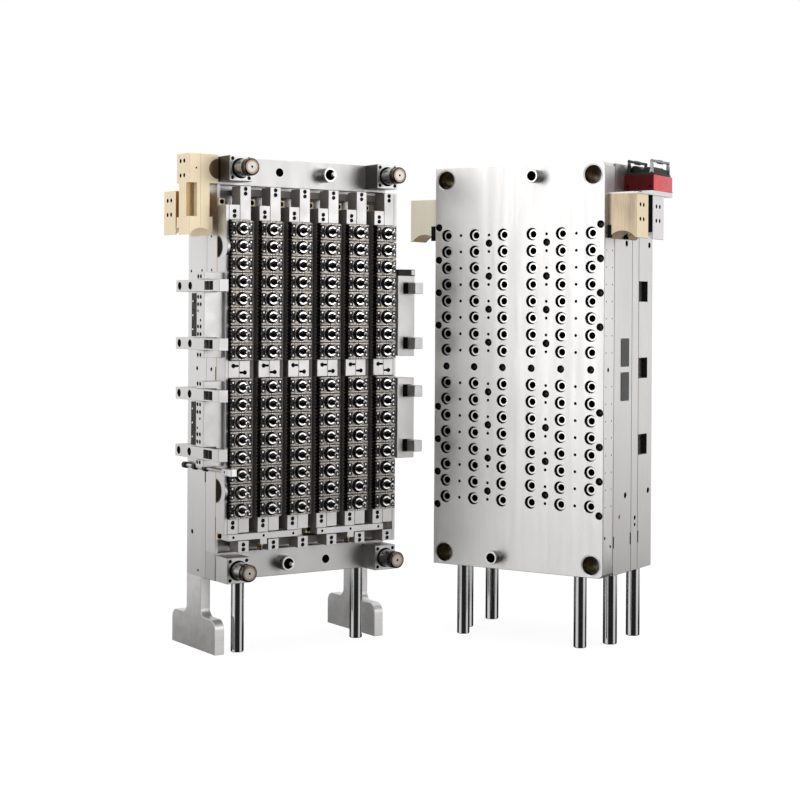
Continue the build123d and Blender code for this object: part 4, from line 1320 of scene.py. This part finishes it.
class MOULD_OT_neck_rings(MouldOperator, bpy.types.Operator):
    """Model the split neck rings: blocks with toothed sides, and a half cone and bore at each core"""

    bl_idname = "mould.neck_rings"
    bl_label = "Neck rings"

    def build(self, size):
        self.nose = size["nose"]
        for way, name in ((-1, "left"), (1, "right")):
            station = self.station(way)
            shape = Shape()
            for x in COLUMNS:
                for z in ROWS:
                    shape.copy_in(station, Matrix.Translation((x, 0, z)))
            shape.finish(f"{name}_neck_ring_halves", core_half, f"{name}_slides", f"{name}_neck_rings")

    def station(self, way):
        """Half a station: a block, its screws and half a cone, on the left or right of the split."""
        shape = Shape()
        shape.take(self.block(way))
        # A dark waist between the screws and a black notch at mid-height, as thin sheets on the front:
        # painted shade of a recess and of a notch
        waist = [(19.6, -16.5), (33.6, -19.0), (33.6, 19.0), (19.6, 16.5), (22.6, 0.0)]
        notch = [(21.5, -1.5), (31.5, -5.5), (27.5, 0.0), (31.5, 5.5), (21.5, 1.5)]
        for outline, near, finish in ((waist, 9.2, "ring_dark"), (notch, 9.0, "hole")):
            shape.prism("front", [(way * a, b) for a, b in outline], near, 9.8, finish, 0.0)
        head = ((5.2, -1.0, "hole"), (5.2, 0.3, "hole"), (3.0, 0.3, "hole"), (2.2, 0.5, "nose"))
        for z in (-12.0, 12.0):
            shape.rod("front", (way * 27.6, 9.3, z), head, 10)
        # Bright bands and pads on the top and bottom edges, near the split and at the outer corner: painted
        # highlights on the chamfered edges
        bands = (
            (1.2, 30.6, 9.35, 1.5, "ring_light"), (2.4, 5.6, 9.2, 1.1, "nose"),
            (27.6, 30.6, 9.2, 1.1, "ring_light"),
        )
        for low, high, near, tall, finish in bands:
            for z in (-21.6, 21.6):
                shape.block(span(way, low, high), (near, 10.0), (z - tall, z + tall), finish, 0.3)
        self.cone(shape, way)
        return shape.mesh(f"station_{way}")

    def block(self, way):
        """Half a ring's block, with five teeth down its outer side."""
        near, thickness, top = 9.5, 24.3, 23.9
        outline = [(0.2, -top), (30.8, -top)]
        for k in range(5):
            low = -22.0 + 10.0 * k
            outline += [(34.7, low), (34.7, low + 4.0), (31.0, low + 5.6), (31.0, low + 8.4)]
        outline[-1] = (31.0, top)
        outline.append((0.2, top))
        part = extruded([(way * a, near, b) for a, b in outline], (0, thickness, 0))
        break_edges(part, [e for e in part.edges if all(abs(v.co.y - near) < 1e-6 for v in e.verts)], 0.9)
        part.normal_update()
        # The side faces take a darker copy of the ring steel: painted shade
        paint(part.faces, "ring_side")
        paint([f for f in part.faces if f.normal.y < -0.3], "ring")
        return part

    def cone(self, shape, way):
        """Half a cone with its bore, spun from the profile at the split."""
        nose, split_gap = self.nose, 0.15
        steps = (
            (20.4, 9.8), (19.6, 8.7), (17.2, 7.6), (nose + 0.5, 0.5), (nose, 0.0), (10.1, 0.0),
            (9.5, 0.6), (9.5, 14.0), (20.4, 14.0),
        )
        split = way * split_gap
        part = bmesh.new()
        verts = [part.verts.new((split, d, -r)) for r, d in steps]
        face = part.faces.new(verts)
        bmesh.ops.spin(
            part, geom=[face, *face.edges, *verts], cent=(split, 0, 0), axis=(0, 1, 0), dvec=(0, 0, 0),
            angle=-way * math.pi, steps=14, use_merge=False, use_duplicate=False,
        )
        part.normal_update()
        for f in part.faces:
            middle = f.calc_center_median()
            radius, depth = math.hypot(middle.x - split, middle.z), middle.y
            if abs(middle.x - split) < 0.01 or depth > 13.5:
                finish = "hole"
            elif radius > nose - 0.2 and depth > 0.1:
                # The cone's base, deeper than 7 mm, is painted black: painted contact shadow
                finish = "cone" if depth < 7.0 else "hole"
            elif radius > 9.55:
                finish = "lip"
            else:
                finish = "well"
            paint([f], finish)
        shape.take(part)


class MOULD_OT_cores(MouldOperator, bpy.types.Operator):
    """Model the cores with their domed tips"""

    bl_idname = "mould.cores"
    bl_label = "Cores"

    def build(self, size):
        radius = size["core"]
        # The chrome body is painted dark, a painted reflection of its dark surroundings, and the domed tip
        # takes the bright lip finish: painted highlight
        steps = (
            (radius, -146.0, "core"), (radius, 24.5, "core"), (radius - 0.3, 25.5, "core"),
            (radius - 0.35, 29.6, "core"), (radius - 1.2, 32.2, "lip"), (radius - 2.8, 34.0, "lip"),
            (radius - 4.6, 34.8, "lip"), (1.9, 35.0, "lip"), (1.5, 34.2, "hole"),
        )
        for number, x in enumerate(COLUMNS, start=1):
            shape = Shape()
            for z in ROWS:
                shape.rod("front", (x, 0, z), steps, 24)
            shape.finish(f"core_pins_{number}", core_half, "standing_halves", f"cores_{number}")


class MOULD_OT_guides(MouldOperator, bpy.types.Operator):
    """Model the housings, the leader pins and the air plungers"""

    bl_idname = "mould.guides"
    bl_label = "Leader pins and plungers"

    def build(self, size):
        self.housings()
        self.leader_pins()
        self.plungers()

    def housings(self):
        front = 14.0
        head = cap_screw(4.8, 3.0, 14)
        mouth = ((29.0, 0.0, "nose"), (28.2, -0.8, "hole"), (28.2, -3.0, "hole"), (25.3, -3.0, "hole"))
        shape = Shape()
        for x, z in GUIDES:
            holes = []
            spots = [(x + a, front, z + b) for a in (-26.5, 26.5) for b in (-27.0, 27.0)]
            heads = bored(holes, "front", spots, 5.8, 5.5, 18)
            holes.append(Hole("front", (x, front, z), mouth, 48))
            bounds = (x - 36, x + 36), (front, STRIPPER_DEPTH[0]), (z - 36.5, z + 36.5)
            shape.block(*bounds, "housing", 1.2, holes, flanks="shadow" if z > 0 else "flank")
            shape.stamp(head, "front", heads)
        shape.finish("guide_housing_blocks", core_half, "stripper", "guide_housings")

    def leader_pins(self):
        steps = (
            (25.0, -204.0, "pin"), (25.0, 33.5, "pin"), (24.2, 34.3, "screw"), (24.2, 36.4, "screw"),
            (24.6, 37.2, "pin_dark"), (24.6, 49.6, "pin_dark"), (22.9, 52.0, "pin_dark"),
            (20.4, 52.9, "pin_dark"), (20.0, 52.4, "screw"), (18.2, 52.4, "pin_ring"),
            (15.0, 52.4, "pin_ring"), (3.4, 52.4, "pin_end"), (2.6, 44.0, "hole"),
        )
        shape = Shape()
        for x, z in GUIDES:
            shape.rod("front", (x, 0.0, z), steps, 48)
        shape.finish("leader_pin_turnings", core_half, "standing_halves", "leader_pins")

    def plungers(self):
        sleeve = (
            (21.5, 0.0, "pin"), (21.5, 25.0, "pin"), (20.8, 25.6, "screw"), (20.8, 27.6, "screw"),
            (21.5, 28.2, "pin"), (21.5, 38.6, "pin"), (20.2, 39.8, "nose"), (16.4, 39.8, "nose"),
            (15.5, 39.0, "nose"), (15.5, 6.0, "well"),
        )
        pin = (
            (6.5, 0.0, "chrome"), (6.5, 56.0, "chrome"), (5.4, 57.0, "chrome"), (5.4, 61.0, "nose"),
            (4.6, 62.6, "nose"), (2.0, 63.0, "nose"),
        )
        sleeves, pins = Shape(), Shape()
        for x, z in ((67.0, 569.0), (-67.0, -569.0)):
            sleeves.rod("front", (x, STRIPPER_DEPTH[0], z), sleeve, 40)
            pins.rod("front", (x, STRIPPER_DEPTH[0], z), pin, 24)
        sleeves.finish("plunger_sleeve_turnings", core_half, "stripper", "plunger_sleeves")
        pins.finish("plunger_pin_turnings", core_half, "stripper", "plunger_pins")


class MOULD_OT_cams(MouldOperator, bpy.types.Operator):
    """Model the cam arms, their covers and keepers, and the cable bracket"""

    bl_idname = "mould.cams"
    bl_label = "Cams and covers"

    ARM_LEVELS = (-237.0, -72.0, 72.0, 237.0)
    INNER, OUTER = 322.2, 351.0
    COVER_REAR = 83.7

    def build(self, size):
        for way, side, reach, cover in ((-1, "left", 54.0, 37.4), (1, "right", 30.0, 15.0)):
            self.arms(way, side, reach)
            self.covers(way, side, cover)
            self.keepers(way, side)
        self.bracket()

    def arms(self, way, side, reach):
        """The arms on one flank, each with a cam slot between its nose and its foot."""
        rear, groove = 214.0, 342.5
        across, web = span(way, self.INNER, self.OUTER), span(way, self.INNER, groove)
        slot = (39.0 - reach, 91.0 - reach)
        head = cap_screw(9.6, 4.0, 18)
        shape = Shape()
        for z in self.ARM_LEVELS:
            above = bottom, top = z - 17.0, z + 17.0
            holes = []
            heads = bored(holes, side, [(way * self.OUTER, d, z) for d in (125.0, 192.0)], 12.0, 7.0, 28)
            shape.block(across, (slot[1], rear), above, "pale", 0.8, holes)
            shape.stamp(head, side, heads)
            shape.block(across, (-reach, slot[0]), above, "pale", 0.8)
            # Black and dark sheets on the web inside the cam slot: painted shade
            shape.block(web, (slot[0] - 1, slot[1] - 18), above, "hole", 0.0)
            shape.block(web, (slot[1] - 18, slot[1] + 1), above, "shadow", 0.0)
            for low, high in ((bottom, bottom + 4.5), (top - 4.5, top)):
                lip = span(way, groove, self.OUTER)
                shape.block(lip, (slot[0] - 0.5, slot[1] + 0.5), (low, high), "pale", 0.4)
            shape.block(span(way, HALF_WIDTH, self.INNER), (147.0, rear), above, "pale", 0.6)
        shape.finish(f"{side}_cam_arm_bars", core_half, "standing_halves", f"{side}_cam_arms")

    def covers(self, way, side, cover):
        """The covers over the cams of one flank: thick where they are screwed, thin between."""
        head = cap_screw(5.4, 2.5, 12)
        outer = way * self.OUTER
        shape = Shape()
        for s in (-1, 1):
            for near, far in ((33.0, 53.9), (90.1, 218.9), (255.1, 275.0)):
                levels = [z for z in (263.0, 205.0, 184.0, 121.0, 99.5, 41.0) if near < z < far]
                spots = [(outer, d, s * z) for d in (59.0, 75.0) for z in levels]
                holes = []
                heads = bored(holes, side, spots, 6.4, 5.5, 16)
                for d, z in ((75.0, 166.0), (59.0, 139.0)):
                    if near < z < far:
                        holes.append(Hole(side, (outer, d, s * z), plain(4.2, 8.0), 12))
                across = span(way, 290.2, self.OUTER)
                shape.block(across, (cover, self.COVER_REAR), span(s, near, far), "pale", 0.9, holes)
                shape.stamp(head, side, heads)
            for near, far in ((53.0, 91.0), (218.0, 256.0)):
                across = span(way, 290.2, 310.0)
                shape.block(across, (cover + 0.4, self.COVER_REAR), span(s, near, far), "pale", 0.4)
        shape.finish(f"{side}_cam_cover_blocks", core_half, f"{side}_slides", f"{side}_cam_covers")

    def keepers(self, way, side):
        button = ((3.0, -0.5, "nose"), (3.0, 0.8, "nose"), (2.2, 1.4, "nose"))
        shape = Shape()
        for s in (-1, 1):
            shape.block(span(way, 326.2, 350.8), (84.2, 115.0), span(s, 93.0, 216.0), "ring_side", 0.8)
            for z in (193.0, 153.0, 113.0):
                shape.rod(side, (way * 350.0, 107.0, s * z), button, 14)
        shape.finish(f"{side}_cover_keeper_bars", core_half, f"{side}_slides", f"{side}_cover_keepers")

    def bracket(self):
        shape = Shape()
        shape.block((290.4, 352.4), (15.0, 41.0), (275.2, 294.0), "plastic", 1.2)
        shape.block((338.0, 352.0), (14.8, 40.0), (276.4, 293.0), "pale", 1.0)
        shape.finish("cable_bracket_block", core_half, "right_slides", "cable_bracket")


class MOULD_OT_core_water(MouldOperator, bpy.types.Operator):
    """Model the water blocks on the left flank of the core half"""

    bl_idname = "mould.core_water"
    bl_label = "Core water blocks"

    OUTER, INNER = -379.0, -HALF_WIDTH

    def build(self, size):
        self.front_block()
        self.rear_block()

    def front_block(self):
        """The upper block, the arched lower one and the neck between them, on the stripper plate."""
        outer, inner, depth = self.OUTER, self.INNER, WATER_BLOCK_DEPTH
        near, rear = depth
        holes = [Hole("left", (0, d, z), WATER_PORT, 20) for d in (111.0, 134.0) for z in (592.5, 551.0)]
        holes.append(Hole("front", (-358.0, 0, 571.0), plain(2.8, 10.0), 12))
        shape = Shape()
        shape.block((outer, inner), depth, (529.0, 613.0), "gold", 1.0, holes)
        shape.prism("front", arched(outer, -305.0, 382.0, 434.0, 19.0, 43.0), near, rear, "gold", 1.0)
        shape.block((-355.0, -315.0), depth, (433.0, 530.0), "gold", 0.6)
        shape.block((outer, -354.0), (99.0, rear), (433.0, 530.0), "gold", 0.0)
        # A thin darker gold plate on the pocket's front: painted shade
        shape.block((outer + 1.5, -354.5), (98.4, 99.4), (433.5, 529.5), "gold_dark", 0.0)
        for bottom, top in ((530.0, 613.0), (402.0, 433.0)):
            shape.block((outer, inner - 12.0), (143.0, 158.0), (bottom, top), "gold", 0.8)
        shape.block((-344.4, -343.6), (near - 0.1, near + 0.4), (405.0, 612.0), "gold_dark", 0.0)
        # A round darker gold patch on the front face: painted shade
        round_shade = arc((inner - 1.0, 571.0), 29.0, 270, 90, 18)
        shape.prism("front", round_shade, near - 0.2, near + 1.0, "gold_dark", 0.0)
        shape.finish("front_water_block_machined", core_half, "stripper", "front_water_block")

    def rear_block(self):
        """The block on the core plate, with a thin brass-coloured panel on its front face: painted shade and
        painted reflection of the block in front.
        """
        holes = [Hole("left", (0, d, z), WATER_PORT, 20) for d in (193.0, 216.0) for z in (483.0, 442.0)]
        shape = Shape()
        shape.prism("front", arched(self.OUTER, self.INNER, 384.0, 510.0), 165.0, 240.0, "gold", 1.0, holes)
        # The thin brass-coloured panel: painted shade and painted reflection
        shape.block((self.OUTER + 1.5, self.INNER - 1.0), (164.6, 165.6), (410.0, 508.0), "brass", 0.0)
        shape.finish("rear_water_block_machined", core_half, "standing_halves", "rear_water_block")


class MOULD_PT_panel(bpy.types.Panel):
    """The mould's operators, sizes and colours in the sidebar"""

    bl_label = "Preform mould"
    bl_idname = "MOULD_PT_panel"
    bl_space_type = "VIEW_3D"
    bl_region_type = "UI"
    bl_category = "Preform mould"

    def draw(self, context):
        layout = self.layout
        for kind in OPERATORS:
            layout.operator(kind.bl_idname)
        for group in (context.scene.mould_sizes, context.scene.mould_tones):
            box = layout.box()
            for key in type(group).__annotations__:
                box.prop(group, key)


OPERATORS = (
    MOULD_OT_studio,
    MOULD_OT_cavity_plate,
    MOULD_OT_cavity_guides,
    MOULD_OT_cavity_backing,
    MOULD_OT_cavity_water,
    MOULD_OT_connector,
    MOULD_OT_supports,
    MOULD_OT_core_plates,
    MOULD_OT_slide_bars,
    MOULD_OT_neck_rings,
    MOULD_OT_cores,
    MOULD_OT_guides,
    MOULD_OT_cams,
    MOULD_OT_core_water,
)
CLASSES = (MouldSizes, MouldTones, *OPERATORS, MOULD_PT_panel)


def register():
    for kind in CLASSES:
        bpy.utils.register_class(kind)
    bpy.types.Scene.mould_sizes = bpy.props.PointerProperty(type=MouldSizes)
    bpy.types.Scene.mould_tones = bpy.props.PointerProperty(type=MouldTones)


def unregister():
    del bpy.types.Scene.mould_tones
    del bpy.types.Scene.mould_sizes
    for kind in reversed(CLASSES):
        bpy.utils.unregister_class(kind)


def main():
    register()
    for kind in OPERATORS:
        group, name = kind.bl_idname.split(".")
        getattr(getattr(bpy.ops, group), name)()


if __name__ == "__main__":
    main()
